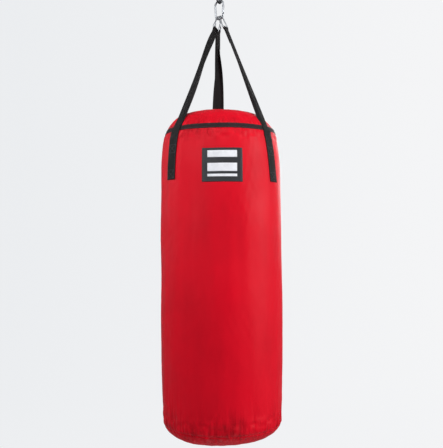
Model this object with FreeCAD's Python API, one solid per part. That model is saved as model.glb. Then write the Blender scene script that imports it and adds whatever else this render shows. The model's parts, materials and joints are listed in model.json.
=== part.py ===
import FreeCAD, Part
import math
import os

from FreeCAD import Vector

# A hanging heavy bag: a stuffed fabric cylinder on three webbing straps, three wire rings,
# a spring snap hook and a ball-bearing swivel. Millimetres, +Z up. The origin is the centre
# of the hole in the swivel's top eye, the front is -Y, and azimuths run from -Y towards +X.

# ---------------------------------------------------------------- driving dimensions
# Bag outline. A slope is the angle between +Z and the outward normal: 0 at the crown,
# 90 on the wall, 180 at the base. Each arc is (radius, slope where it ends).
CROWN_DROP = 391.0            # hanging point down to the crown
BAG_HEIGHT = 950.0
WALL_SLOPES = (89.0, 91.0)    # the wall bulges evenly between these
UPPER_ARCS = ((370.0, 15.0), (92.5, 80.5), (600.0, WALL_SLOPES[0]))    # crown, shoulder, wall
BASE_ARC = (50.0, 158.0)      # the rounded edge of the base; a shallow dish closes it

COVER = 1.2                   # coated nylon with its backing
PADDING = 12.0                # felt lining
SACK = 0.8                    # inner bag that holds the filling
TOP_SEAM_SLOPE = 67.0         # crown panel to wall panel, under the band
BASE_SEAM_SLOPE = 111.5       # wall panel to base panel
PAD_TOP_SLOPE = 47.0          # where the top pad meets the wall pad
PAD_BASE_SLOPE = 125.0        # where the wall pad meets the base pad

BAND_WIDTH = 15.0
BAND_THICK = 0.6

# Straps: azimuth where they leave the shoulder, and at the sewn lower end.
STRAPS = {"left": (-50.0, -52.5), "right": (53.5, 58.0), "back": (183.0, 183.0)}
STRAP_ENDS = {"left": -598.0, "right": -606.0, "back": -606.0}    # heights of the lower ends
STRAP_WIDTH = 36.0
STRAP_THICK = 2.2
STRAP_LIFT = 0.9              # inner face of the free strap above the cover
FOLD_WIDTH = 17.0             # the strap is folded in to this width at its ring
FOLD_LENGTH = 8.0             # the folded end below the ring's bar
FOLD_LAP = 1.0                # the free span reaches this far into the folded end
SEWN_GAP = 0.3                # the sewn part's inner face above the cover
BAND_MARGIN = 3.0             # slope below the band where the strap starts to rise over it
BAND_STEP = 0.8               # slope over which it rises
SEWN_SECTIONS = 8
SPAN_SECTIONS = 25
LONG_TURNS = {"left"}         # this strap turns the longer way round, its face to the front
TURN_POWERS = {"left": 5.0, "right": 1.0, "back": 1.0}    # 1 turns evenly, more turns late
ACROSS_SHARES = (-0.5, -1 / 6, 1 / 6, 0.5)

# Label patch and its plain print.
LABEL_AZIMUTH = 1.5
LABEL_WIDTH = 110.0
LABEL_Z = (-610.0, -519.0)
LABEL_THICK = 0.9
PRINT_THICK = 0.15
PRINT_BARS = ((79.0, -544.5, -526.0), (79.0, -582.0, -560.0), (79.0, -596.0, -589.0))

# Zip across the crown, along X; angles are about the crown arc's centre.
ZIP_HALF_ANGLE = 14.0
ZIP_SLOT_HALF = 5.0           # half width of the opening in the crown panel
ZIP_TAPE = (3.0, 12.0)        # inner and outer edge of each tape, from the middle
ZIP_TAPE_THICK = 0.8
ZIP_STOP_ANGLE = 0.3          # length of each end stop
ZIP_STOP_INSET = 0.1          # the stops are this much narrower than the rows
ZIP_ROOM_DEPTH = 6.0          # room in the felt for the slider
ZIP_ROOM_MARGIN = 3.0
ZIP_ROW = (0.6, 3.0)          # inner and outer edge of each row of teeth
ZIP_ROW_RISE = 1.2            # the teeth stand this far above and below the tape's middle
SLIDER_REST_ANGLE = 13.0
SLIDER_LENGTH = 12.0
SLIDER_HALF_WIDTH = 4.6
SLIDER_PLATE = 1.2
SLIDER_GAP = 0.4              # slider plates to the teeth
LIP_GAP = 0.35                # slider lips to the tape
LIP_INNER = 3.4
POST_HALF = 0.25              # divider between the two rows
PULL_LENGTH = 28.0
PULL_WIDTH = 9.0
PULL_THICK = 1.2
PULL_PIN_R = 0.8
PULL_HOLE_R = 0.88
PULL_ARM = 1.4                # each arm beside the slider's lug
PULL_TAIL = 1.0               # plate behind the pin
PULL_WINDOW = 4.5             # the opening between the arms ends here
PULL_EYE_R = 2.5
PULL_EYE_INSET = 6.0          # eye's centre to the free end
LUG_R = 2.2
LUG_HALF = 1.6
PIVOT_RISE = 2.6              # pull's pivot above the crown surface

# Snap hook: a rod bent round two arcs, in the vertical plane at HOOK_TURN from X.
HOOK_TURN = 35.0
HOOK_ROD_R = 3.0
HOOK_TOP_ARC = 14.0
HOOK_LOW_ARC = 12.5
HOOK_CENTRES = 27.5           # distance between the two arc centres
GATE_PIVOT_RISE = 2.0         # gate pivot above the start of the straight side
GATE_LENGTH = 24.5
GATE_TONGUE_HALF = 1.2
GATE_TONGUE_INSET = 0.4       # tongue's sides inside the rod's
GATE_SLOT_HALF = 1.5
GATE_GAP = 0.35
GATE_LOW_SLOT = 4.0
GATE_TOP_SLOT = 6.0
GATE_PIN_R = 1.2
GATE_PIN_HOLE_R = 1.28
GATE_PIN_HALF = 2.7
GATE_BORE_R = 1.6
GATE_BORE_END = 16.0
SPRING_R = 1.45
SPRING_WALL = 0.5
SPRING_SPAN = (3.0, 15.5)
NOSE_INSET = 1.0              # nose's outer side inside the rod's
NOSE_LAP = 1.0                # tongues run this far past the slots and into the rod
LOAD_GAP = 0.3                # clearance where one loaded loop hangs in another

# Wire rings: pear shaped, each round the hook's lower arc at an angle from straight down.
RING_ROD_R = 1.7
RING_APEX_ARC = 9.2
RING_CORNER_ARC = 4.0
RING_BASE_HALF = 13.0
RING_HEIGHT = 40.5            # base bar to apex, along the rod's middle
RING_GAP = 1.3                # ring's apex to the hook's rod
RING_BAR_GAP = 0.1            # strap loop round the bar
RING_PLACES = {"left": 0.0, "right": 35.0, "back": -27.0}

# Swivel, from the top down.
EYE_BORE_R = 8.0
EYE_OUTER_R = 15.0
EYE_LENGTH = 8.0
EYE_NECK_HALF = 11.5
EYE_NECK_TOP_Z = -8.0
CAP_TOP_Z = -13.0
HOUSING_TOP_Z = -20.0
HOUSING_BASE_Z = -46.0
HOUSING_R = 13.0
HOUSING_BORE_R = 10.5
HOUSING_LIP = 3.0
CAP_PLUG = 4.0
CHAMFER = 1.0
STEM_R = 4.0
STEM_HOLE_R = 4.08
STEM_TOP_Z = -28.5
RACE_THICK = 2.5
LOW_RACE_BORE_R = 4.5
TOP_RACE_R = 9.8
BALL_R = 1.5
BALL_CIRCLE_R = 7.3
BALL_COUNT = 8
GROOVE_R = 1.55
RACE_SPACE = 2.0
CAGE_HALF = 0.6
CAGE_RADII = (5.4, 9.4)
NUT_SIDES = 6
NUT_FLATS = 14.0
NUT_THICK = 6.0
LOW_EYE_Z = -63.0
LOW_EYE_ARC = 11.0
LOW_EYE_ROD_R = 3.0
COLLAR_R = 6.0
COLLAR_Z = (-50.5, -46.4)

TINY = 1e-7
CUT_MARGIN = 1.0              # how far a cutting shape passes the face it cuts
ROD_CUT_HALF = 5.0            # half size of a cutting shape that takes in the hook's rod
CROWN_HEIGHTS = (-CROWN_DROP - 60.0, -CROWN_DROP + 20.0)    # heights that take in the crown

UP = Vector(0, 0, 1)
AXIS_Y = Vector(0, 1, 0)
CENTRE = Vector(0, 0, 0)


# ---------------------------------------------------------------- bag outline
def sine(degrees):
    return math.sin(math.radians(degrees))


def cosine(degrees):
    return math.cos(math.radians(degrees))


def make_outline():
    """Arcs of the half outline as (radius, start slope, end slope, centre r, centre z)."""
    dish_start = BASE_ARC[1]
    rim_r = 0.0
    drop = 0.0
    slope = 0.0
    for radius, end in UPPER_ARCS:
        rim_r += radius * (sine(end) - sine(slope))
        drop += radius * (cosine(slope) - cosine(end))
        slope = end
    base_r = rim_r + BASE_ARC[0] * (sine(dish_start) - sine(WALL_SLOPES[1]))
    drop += BASE_ARC[0] * (cosine(WALL_SLOPES[1]) - cosine(dish_start))
    dish_radius = base_r / sine(dish_start)
    drop += dish_radius * (cosine(dish_start) + 1.0)
    wall_radius = (BAG_HEIGHT - drop) / (cosine(slope) - cosine(WALL_SLOPES[1]))
    chain = UPPER_ARCS + ((wall_radius, WALL_SLOPES[1]), BASE_ARC, (dish_radius, 180.0))
    arcs = []
    point_r = 0.0
    point_z = -CROWN_DROP
    slope = 0.0
    for radius, end in chain:
        centre_r = point_r - radius * sine(slope)
        centre_z = point_z - radius * cosine(slope)
        arcs.append((radius, slope, end, centre_r, centre_z))
        point_r = centre_r + radius * sine(end)
        point_z = centre_z + radius * cosine(end)
        slope = end
    return arcs


OUTLINE = make_outline()
SHOULDER = OUTLINE[1]


def outline_point(slope, offset=0.0):
    """The (r, z) where the outline has this slope, moved outwards by offset."""
    for radius, start, end, centre_r, centre_z in OUTLINE:
        if slope <= end:
            reach = radius + offset
            return centre_r + reach * sine(slope), centre_z + reach * cosine(slope)
    return 0.0, OUTLINE[-1][4] - OUTLINE[-1][0] - offset


def slope_at(height):
    """The slope of the outline at this height."""
    low, high = 0.0, 180.0
    while high - low > TINY:
        middle = (low + high) / 2
        if outline_point(middle)[1] > height:
            low = middle
        else:
            high = middle
    return low


def outline_edges(start, end, offset):
    """Arc edges in the XZ plane, from one slope to another."""
    edges = []
    for radius, arc_start, arc_end, centre_r, centre_z in OUTLINE:
        first = max(start, arc_start)
        last = min(end, arc_end)
        if last - first < TINY:
            continue
        reach = radius + offset
        points = []
        for place in (first, (first + last) / 2, last):
            points.append(Vector(centre_r + reach * sine(place), 0, centre_z + reach * cosine(place)))
        for point in points:
            if abs(point.x) < TINY:
                point.x = 0.0
        edges.append(Part.Arc(*points).toShape())
    return edges


def front_turn(shape, azimuth):
    """Turn a shape built along +X to an azimuth measured from the front."""
    turned = shape.copy()
    turned.rotate(CENTRE, UP, azimuth - 90.0)
    return turned


def skin(start, end, inner, outer, middle=None, sweep=360.0):
    """A layer of the bag between two slopes and two offsets, all round or over an azimuth."""
    outside = outline_edges(start, end, outer)
    inside = outline_edges(start, end, inner)
    edges = list(outside)
    for slope in (start, end):
        near = outline_point(slope, inner)
        far = outline_point(slope, outer)
        edges.append(Part.makeLine(Vector(near[0], 0, near[1]), Vector(far[0], 0, far[1])))
    edges += inside
    face = Part.Face(Part.Wire(Part.__sortEdges__(edges)))
    if middle is None:
        return face.revolve(CENTRE, UP, sweep)
    face.rotate(CENTRE, UP, -sweep / 2)
    return front_turn(face.revolve(CENTRE, UP, sweep), middle)


def core(offset):
    """The whole bag inside an offset, as one solid."""
    edges = outline_edges(0.0, 180.0, offset)
    top = edges[0].Vertexes[0].Point
    base = Vector(0, 0, OUTLINE[-1][4] - OUTLINE[-1][0] - offset)
    edges.append(Part.makeLine(base, Vector(0, 0, top.z)))
    return Part.Face(Part.Wire(Part.__sortEdges__(edges))).revolve(CENTRE, UP, 360)


# ---------------------------------------------------------------- shared shapes
def block(low, high):
    return Part.makeBox(high[0] - low[0], high[1] - low[1], high[2] - low[2], Vector(*low))


def disc(radius, low, high):
    return Part.makeCylinder(radius, high - low, Vector(0, 0, low))


def rimmed_disc(radius, low, high, rim_z):
    """A disc whose round edge at this height is chamfered."""
    plain = disc(radius, low, high)
    rims = [edge for edge in plain.Edges if edge.isClosed() and abs(edge.CenterOfMass.z - rim_z) < TINY]
    return plain.makeChamfer(CHAMFER, rims)


def cross_rod(radius, half, height=0.0):
    """A round bar along Y, centred on the Z axis."""
    return Part.makeCylinder(radius, 2 * half, Vector(0, -half, height), AXIS_Y)


def frame_turn(right, up):
    """The placement that takes X to right and Z to up."""
    right = Vector(right).normalize()
    up = Vector(up).normalize()
    inward = up.cross(right)
    matrix = FreeCAD.Matrix(
        right.x, inward.x, up.x, 0,
        right.y, inward.y, up.y, 0,
        right.z, inward.z, up.z, 0,
        0, 0, 0, 1)
    return FreeCAD.Placement(matrix)


def belt(circles, rod_radius):
    """A closed rod in the XZ plane that runs round circles (x, z, radius), anticlockwise."""
    joins = []
    for number, (x, z, radius) in enumerate(circles):
        next_x, next_z, next_radius = circles[(number + 1) % len(circles)]
        span = math.hypot(next_x - x, next_z - z)
        heading = math.atan2(next_z - z, next_x - x)
        normal = heading - math.acos((radius - next_radius) / span)
        out_x, out_z = math.cos(normal), math.sin(normal)
        leave = Vector(x + radius * out_x, 0, z + radius * out_z)
        arrive = Vector(next_x + next_radius * out_x, 0, next_z + next_radius * out_z)
        joins.append((normal, leave, arrive))
    edges = []
    for number, (x, z, radius) in enumerate(circles):
        before = joins[number - 1]
        after = joins[number]
        turn = (after[0] - before[0]) % (2 * math.pi)
        middle = before[0] + turn / 2
        halfway = Vector(x + radius * math.cos(middle), 0, z + radius * math.sin(middle))
        edges.append(Part.Arc(before[2], halfway, after[1]).toShape())
        edges.append(Part.makeLine(after[1], after[2]))
    ends = [vertex.Point for vertex in edges[-1].Vertexes]
    middle = (ends[0] + ends[1]) / 2
    section = Part.Wire(Part.Circle(middle, ends[1] - ends[0], rod_radius).toShape())
    tube = Part.Wire(split_path(edges, middle)).makePipeShell([section], True, False)
    return tube.Solids[0]


def split_path(edges, start):
    """The same closed path, begun in the middle of its last straight."""
    last = edges[-1]
    first_half = Part.makeLine(start, last.Vertexes[1].Point)
    second_half = Part.makeLine(last.Vertexes[0].Point, start)
    return [first_half] + edges[:-1] + [second_half]


# ---------------------------------------------------------------- places on the hook
HOOK_ALONG = Vector(cosine(HOOK_TURN), -sine(HOOK_TURN), 0)
HOOK_ACROSS = Vector(sine(HOOK_TURN), cosine(HOOK_TURN), 0)
EYE_BEND_Z = LOW_EYE_Z - LOW_EYE_ARC
HOOK_TOP_CENTRE_Z = EYE_BEND_Z + LOW_EYE_ROD_R + HOOK_ROD_R + LOAD_GAP - HOOK_TOP_ARC
HOOK_LOW_CENTRE_Z = HOOK_TOP_CENTRE_Z - HOOK_CENTRES


def on_hook(along, height):
    return HOOK_ALONG * along + Vector(0, 0, height)


def gate_line():
    """The gate's pivot and its direction, in the hook's plane as (along, height)."""
    lean = math.asin((HOOK_TOP_ARC - HOOK_LOW_ARC) / HOOK_CENTRES)
    side = (HOOK_LOW_ARC * math.cos(lean), HOOK_LOW_CENTRE_Z - HOOK_LOW_ARC * math.sin(lean))
    heading = (math.sin(lean), math.cos(lean))
    pivot = (side[0] + GATE_PIVOT_RISE * heading[0], side[1] + GATE_PIVOT_RISE * heading[1])
    return pivot, heading


GATE_PIVOT, GATE_HEADING = gate_line()


def place_on_gate(shape):
    """Move a shape from gate axes (X across the gate, Y across the hook, Z up it) to the hook."""
    heading = on_hook(*GATE_HEADING)
    placed = shape.copy()
    placed.Placement = frame_turn(HOOK_ACROSS.cross(heading), heading)
    placed.translate(on_hook(*GATE_PIVOT))
    return placed


# ---------------------------------------------------------------- straps and rings
class Hanger:
    """The lines that one strap and its ring follow."""

    def __init__(self, side):
        self.azimuth, self.end_azimuth = STRAPS[side]
        place = RING_PLACES[side]
        self.hold = on_hook(HOOK_LOW_ARC * sine(place),
                            HOOK_LOW_CENTRE_Z - HOOK_LOW_ARC * cosine(place))
        outward = Vector(sine(self.azimuth), -cosine(self.azimuth), 0)
        self.end_z = STRAP_ENDS[side]
        radius, _, _, centre_r, centre_z = SHOULDER
        reach = radius + STRAP_LIFT + STRAP_THICK / 2
        from_centre = Vector(self.hold.dot(outward) - centre_r, self.hold.z - centre_z, 0)
        bearing = math.degrees(math.atan2(from_centre.x, from_centre.y))
        self.slope = bearing + math.degrees(math.acos(reach / from_centre.Length))
        touch_r, touch_z = outline_point(self.slope, STRAP_LIFT + STRAP_THICK / 2)
        self.touch = outward * touch_r + Vector(0, 0, touch_z)
        self.outward = outward * sine(self.slope) + Vector(0, 0, cosine(self.slope))
        self.down = (self.touch - self.hold).normalize()
        rod_way = HOOK_ALONG * cosine(place) + UP * sine(place)
        self.bar_way = rod_way.cross(self.down).normalize()
        self.bar = self.hold + self.down * (RING_HEIGHT - HOOK_ROD_R - RING_ROD_R - RING_GAP)


HANGERS = {side: Hanger(side) for side in STRAPS}
BAND_HALF_SLOPE = math.degrees(BAND_WIDTH / 2 / SHOULDER[0])
BAND_CLEAR_SLOPE = TOP_SEAM_SLOPE + BAND_HALF_SLOPE + BAND_MARGIN


def make_ring(side):
    """A pear-shaped wire ring, its base bar in the strap and its apex round the hook."""
    hanger = HANGERS[side]
    corner_x = RING_BASE_HALF - RING_CORNER_ARC
    circles = ((-corner_x, RING_CORNER_ARC, RING_CORNER_ARC),
               (corner_x, RING_CORNER_ARC, RING_CORNER_ARC),
               (0.0, RING_HEIGHT - RING_APEX_ARC, RING_APEX_ARC))
    ring = belt(circles, RING_ROD_R)
    ring.Placement = frame_turn(hanger.bar_way, hanger.down * -1.0)
    ring.translate(hanger.bar)
    return ring


def flat_section(centre, width_way, thick_way, width, thick):
    """Corners of a flat strap section: its inner side one way, then its outer side back."""
    rows = []
    for out in (-0.5, 0.5):
        middle = centre + thick_way * (out * thick)
        rows.append([middle + width_way * (share * width) for share in ACROSS_SHARES])
    return rows[0] + rows[1][::-1]


def sewn_section(hanger, slope):
    """Corners of a strap section on the cover, bent to the cover's curve."""
    height = outline_point(slope)[1]
    share = (hanger.touch.z - height) / (hanger.touch.z - hanger.end_z)
    azimuth = hanger.azimuth + (hanger.end_azimuth - hanger.azimuth) * share
    over_band = slope < BAND_CLEAR_SLOPE
    rows = []
    for offset in (STRAP_LIFT if over_band else SEWN_GAP, STRAP_LIFT + STRAP_THICK):
        reach, level = outline_point(slope, offset)
        row = []
        for part in ACROSS_SHARES:
            turn = azimuth + math.degrees(part * STRAP_WIDTH / reach)
            row.append(Vector(reach * sine(turn), -reach * cosine(turn), level))
        rows.append(row)
    return rows[0] + rows[1][::-1]


def skin_through(sections):
    """A solid of flat triangles through sections that all have the same number of corners."""
    count = len(sections[0])
    triangles = []
    for near, far in zip(sections, sections[1:]):
        for number in range(count):
            after = (number + 1) % count
            triangles.append((near[number], near[after], far[after]))
            triangles.append((near[number], far[after], far[number]))
    for section, first in ((sections[0], True), (sections[-1], False)):
        for number in range(count // 2 - 1):
            corners = [section[number], section[number + 1],
                       section[count - 2 - number], section[count - 1 - number]]
            if first:
                corners.reverse()
            triangles.append((corners[0], corners[1], corners[2]))
            triangles.append((corners[0], corners[2], corners[3]))
    faces = [Part.Face(Part.makePolygon(list(corners) + [corners[0]])) for corners in triangles]
    solid = Part.makeSolid(Part.makeShell(faces))
    if solid.Volume < 0:
        solid.reverse()
    return solid


def span_sections(side):
    """Sections of the free span, which turns and narrows from the shoulder to its ring."""
    hanger = HANGERS[side]
    start = hanger.touch
    end = hanger.bar + hanger.down * (FOLD_LENGTH - FOLD_LAP)
    run = end - start
    way = Vector(run).normalize()
    wide_way = Vector(cosine(hanger.azimuth), sine(hanger.azimuth), 0)
    wide_way = (wide_way - way * wide_way.dot(way)).normalize()
    bar_way = (hanger.bar_way - way * hanger.bar_way.dot(way)).normalize()
    if (wide_way.dot(bar_way) < 0) != (side in LONG_TURNS):
        bar_way = bar_way * -1.0
    twist = math.degrees(wide_way.getAngle(bar_way))
    if wide_way.cross(bar_way).dot(way) < 0:
        twist = -twist
    outward_sign = 1.0 if wide_way.cross(way).dot(hanger.outward) > 0 else -1.0
    sections = []
    for number in range(1, SPAN_SECTIONS):
        share = number / (SPAN_SECTIONS - 1)
        turn = twist * share ** TURN_POWERS[side]
        width_way = FreeCAD.Rotation(way, turn).multVec(wide_way)
        thick_way = width_way.cross(way).normalize() * outward_sign
        width = STRAP_WIDTH + (FOLD_WIDTH - STRAP_WIDTH) * share
        thick = STRAP_THICK * (1.0 + share)
        sections.append(flat_section(start + run * share, width_way, thick_way, width, thick))
    return sections


def make_strap_loop(hanger):
    """The folded end of a strap, round its ring's base bar."""
    hole_r = RING_ROD_R + RING_BAR_GAP
    middle = hanger.bar - hanger.bar_way * (FOLD_WIDTH / 2)
    sleeve = Part.makeCylinder(hole_r + STRAP_THICK, FOLD_WIDTH, middle, hanger.bar_way)
    thick_way = hanger.down.cross(hanger.bar_way).normalize()
    sections = []
    for distance in (0.0, FOLD_LENGTH):
        centre = hanger.bar + hanger.down * distance
        sections.append(flat_section(centre, hanger.bar_way, thick_way, FOLD_WIDTH,
                                     2 * STRAP_THICK))
    hole = Part.makeCylinder(hole_r, 2 * FOLD_WIDTH, hanger.bar - hanger.bar_way * FOLD_WIDTH,
                             hanger.bar_way)
    return sleeve.fuse(skin_through(sections)).cut(hole)


def make_strap(side):
    hanger = HANGERS[side]
    wall_slope = WALL_SLOPES[0]
    slopes = [slope_at(hanger.end_z), slope_at((hanger.end_z + outline_point(wall_slope)[1]) / 2)]
    for number in range(SEWN_SECTIONS + 1):
        slopes.append(wall_slope + (BAND_CLEAR_SLOPE - wall_slope) * number / SEWN_SECTIONS)
    raised_slope = BAND_CLEAR_SLOPE - BAND_STEP
    slopes += [raised_slope, (raised_slope + hanger.slope) / 2, hanger.slope]
    sections = [sewn_section(hanger, slope) for slope in slopes] + span_sections(side)
    return skin_through(sections).fuse(make_strap_loop(hanger)).removeSplitter()


# ---------------------------------------------------------------- bag
def make_band():
    first, last = TOP_SEAM_SLOPE - BAND_HALF_SLOPE, TOP_SEAM_SLOPE + BAND_HALF_SLOPE
    return skin(first, last, 0.0, BAND_THICK)


def crown_strip(inner, outer, low, high):
    """The part of a crown layer along the zip, between two distances to the side."""
    half_length = OUTLINE[0][0] * sine(ZIP_HALF_ANGLE)
    return skin(0.0, OUTLINE[0][2], inner, outer).common(
        block((-half_length, low, CROWN_HEIGHTS[0]), (half_length, high, CROWN_HEIGHTS[1])))


def make_covers():
    top = skin(0.0, TOP_SEAM_SLOPE, -COVER, 0.0)
    slot = crown_strip(-COVER - CUT_MARGIN, CUT_MARGIN, -ZIP_SLOT_HALF, ZIP_SLOT_HALF)
    side = skin(TOP_SEAM_SLOPE, BASE_SEAM_SLOPE, -COVER, 0.0)
    bottom = skin(BASE_SEAM_SLOPE, 180.0, -COVER, 0.0)
    return top.cut(slot), side, bottom


def make_padding():
    inner = -COVER - PADDING
    top = skin(0.0, PAD_TOP_SLOPE, inner, -COVER)
    tape_room = crown_strip(-COVER - ZIP_TAPE_THICK, 0.0, -ZIP_TAPE[1], ZIP_TAPE[1])
    room_half = SLIDER_HALF_WIDTH + ZIP_ROOM_MARGIN
    slider_room = crown_strip(-COVER - ZIP_ROOM_DEPTH, 0.0, -room_half, room_half)
    top = top.cut(tape_room).cut(slider_room)
    wall = skin(PAD_TOP_SLOPE, PAD_BASE_SLOPE, inner, -COVER)
    bottom = skin(PAD_BASE_SLOPE, 180.0, inner, -COVER)
    return top, wall, bottom


def label_layer(low, high, width, inner, outer):
    radius = outline_point(slope_at((low + high) / 2))[0]
    sweep = math.degrees(width / radius)
    return skin(slope_at(high), slope_at(low), inner, outer, LABEL_AZIMUTH, sweep)


def make_label():
    patch = label_layer(LABEL_Z[0], LABEL_Z[1], LABEL_WIDTH, 0.0, LABEL_THICK)
    bars = []
    for width, low, high in PRINT_BARS:
        bars.append(label_layer(low, high, width, LABEL_THICK, LABEL_THICK + PRINT_THICK))
    return patch, Part.makeCompound(bars)


# ---------------------------------------------------------------- zip
CROWN_CENTRE = Vector(0, 0, OUTLINE[0][4])


def zip_block(side_low, side_high, inner, outer, first_angle, last_angle):
    """A block curved along the zip, between two widths, offsets and angles."""
    reach = OUTLINE[0][0]
    low = OUTLINE[0][4] + reach + inner
    high = OUTLINE[0][4] + reach + outer
    corners = [Vector(0, side_low, low), Vector(0, side_high, low),
               Vector(0, side_high, high), Vector(0, side_low, high)]
    face = Part.Face(Part.makePolygon(corners + corners[:1]))
    face.rotate(CROWN_CENTRE, AXIS_Y, first_angle)
    return face.revolve(CROWN_CENTRE, AXIS_Y, last_angle - first_angle)


def both_sides(low, high, inner, outer, first_angle, last_angle):
    return [zip_block(low, high, inner, outer, first_angle, last_angle),
            zip_block(-high, -low, inner, outer, first_angle, last_angle)]


TAPE_MIDDLE = -COVER - ZIP_TAPE_THICK / 2
ROW_TOP = TAPE_MIDDLE + ZIP_ROW_RISE
ROW_BASE = TAPE_MIDDLE - ZIP_ROW_RISE


def make_zip_rows():
    """The two tapes, and a plain bar for each row of teeth."""
    tapes = []
    for low, high in (ZIP_TAPE, (-ZIP_TAPE[1], -ZIP_TAPE[0])):
        tapes.append(crown_strip(-COVER - ZIP_TAPE_THICK, -COVER, low, high))
    last = ZIP_HALF_ANGLE - ZIP_STOP_ANGLE
    rows = both_sides(ZIP_ROW[0], ZIP_ROW[1], ROW_BASE, ROW_TOP, -last, last)
    return Part.makeCompound(tapes), Part.makeCompound(rows)


def make_zip_stops():
    """Small clamps across both rows at each end of the zip."""
    half = ZIP_ROW[1] - ZIP_STOP_INSET
    inner_end = ZIP_HALF_ANGLE - ZIP_STOP_ANGLE
    stops = []
    for first, last in ((-ZIP_HALF_ANGLE, -inner_end), (inner_end, ZIP_HALF_ANGLE)):
        stops.append(zip_block(-half, half, ROW_BASE, ROW_TOP, first, last))
    return Part.makeCompound(stops)


def make_slider():
    half = math.degrees(SLIDER_LENGTH / 2 / OUTLINE[0][0])
    width = SLIDER_HALF_WIDTH
    top_low = ROW_TOP + SLIDER_GAP
    base_high = ROW_BASE - SLIDER_GAP
    slider = zip_block(-width, width, top_low, top_low + SLIDER_PLATE, -half, half)
    slider = slider.fuse(zip_block(-width, width, base_high - SLIDER_PLATE, base_high, -half, half))
    for low, high in ((-COVER + LIP_GAP, top_low), (base_high, -COVER - ZIP_TAPE_THICK - LIP_GAP)):
        slider = slider.fuse(both_sides(LIP_INNER, width, low, high, -half, half))
    slider = slider.fuse(zip_block(-POST_HALF, POST_HALF, base_high, top_low, -half, -half / 2))
    pivot_z = -CROWN_DROP + PIVOT_RISE
    lug = block((-LUG_R, -LUG_HALF, -CROWN_DROP + top_low + SLIDER_PLATE / 2), (LUG_R, LUG_HALF, pivot_z))
    lug = lug.fuse(cross_rod(LUG_R, LUG_HALF, pivot_z))
    hole = cross_rod(PULL_HOLE_R, LUG_HALF + CUT_MARGIN, pivot_z)
    slider = slider.fuse(lug).cut(hole).removeSplitter()
    slider.rotate(CROWN_CENTRE, AXIS_Y, SLIDER_REST_ANGLE)
    return slider


def make_pull():
    """A tab on two arms, with a cross pin through the slider's lug."""
    height = -CROWN_DROP + PIVOT_RISE
    half = PULL_WIDTH / 2
    low, high = height - PULL_THICK / 2, height + PULL_THICK / 2
    plate = block((-PULL_TAIL, -half, low), (PULL_LENGTH, half, high))
    window = block((-PULL_TAIL - CUT_MARGIN, -half + PULL_ARM, low), (PULL_WINDOW, half - PULL_ARM, high))
    eye = disc(PULL_EYE_R, low, high)
    eye.translate(Vector(PULL_LENGTH - PULL_EYE_INSET, 0, 0))
    pull = plate.cut([window, eye]).fuse(cross_rod(PULL_PIN_R, half, height)).removeSplitter()
    pull.rotate(CROWN_CENTRE, AXIS_Y, SLIDER_REST_ANGLE)
    return pull


# ---------------------------------------------------------------- snap hook
def make_hook():
    """The bent rod with its two flat tongues; the gate closes the straight side."""
    circles = ((0.0, HOOK_LOW_CENTRE_Z, HOOK_LOW_ARC), (0.0, HOOK_TOP_CENTRE_Z, HOOK_TOP_ARC))
    loop = belt(circles, HOOK_ROD_R)
    loop.Placement = frame_turn(HOOK_ALONG, UP)
    half = ROD_CUT_HALF
    reach = GATE_LENGTH + GATE_GAP
    knuckle_r = HOOK_ROD_R + GATE_GAP
    side = block((-half, -half, 0), (half, half, reach + CUT_MARGIN))
    gap = side.common(cross_rod(reach, half)).fuse(cross_rod(knuckle_r, half))
    tongue_r = HOOK_ROD_R - GATE_TONGUE_INSET
    neck_half = tongue_r - GATE_TONGUE_INSET
    neck = block((-neck_half, -GATE_TONGUE_HALF, -knuckle_r - NOSE_LAP), (neck_half, GATE_TONGUE_HALF, 0))
    low_tongue = cross_rod(tongue_r, GATE_TONGUE_HALF).fuse(neck)
    nose = block((-tongue_r, -GATE_TONGUE_HALF, GATE_LENGTH - GATE_TOP_SLOT + NOSE_LAP),
                 (HOOK_ROD_R - NOSE_INSET, GATE_TONGUE_HALF, reach + NOSE_LAP))
    hook = loop.cut(place_on_gate(gap)).fuse([place_on_gate(low_tongue), place_on_gate(nose)])
    return hook.cut(place_on_gate(cross_rod(GATE_PIN_R, half))).removeSplitter()


def make_gate():
    """A rod slotted at both ends, hollow for its spring."""
    half = ROD_CUT_HALF
    side = block((-half, -half, 0), (half, half, GATE_LENGTH))
    room = side.common(cross_rod(GATE_LENGTH, half)).fuse(cross_rod(HOOK_ROD_R, half))
    gate = disc(HOOK_ROD_R, -HOOK_ROD_R, GATE_LENGTH).common(room)
    for low, high in ((-half, GATE_LOW_SLOT), (GATE_LENGTH - GATE_TOP_SLOT, GATE_LENGTH + half)):
        gate = gate.cut(block((-half, -GATE_SLOT_HALF, low), (half, GATE_SLOT_HALF, high)))
    gate = gate.cut([disc(GATE_BORE_R, 0.0, GATE_BORE_END), cross_rod(GATE_PIN_HOLE_R, half)])
    return place_on_gate(gate)


def make_gate_pin():
    return place_on_gate(cross_rod(GATE_PIN_R, GATE_PIN_HALF))


def make_gate_spring():
    low, high = SPRING_SPAN
    return place_on_gate(disc(SPRING_R, low, high).cut(disc(SPRING_R - SPRING_WALL, low, high)))


# ---------------------------------------------------------------- swivel
def make_top_eye():
    """The eye that hangs from above, on the cap that closes the housing."""
    half = EYE_LENGTH / 2
    neck = block((-EYE_NECK_HALF, -half, HOUSING_TOP_Z), (EYE_NECK_HALF, half, EYE_NECK_TOP_Z))
    cap = rimmed_disc(HOUSING_R, HOUSING_TOP_Z, CAP_TOP_Z, CAP_TOP_Z)
    plug = disc(HOUSING_BORE_R, HOUSING_TOP_Z - CAP_PLUG, HOUSING_TOP_Z)
    eye = cross_rod(EYE_OUTER_R, half).fuse([neck, cap, plug])
    return eye.cut(cross_rod(EYE_BORE_R, half + CUT_MARGIN)).removeSplitter()


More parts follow.
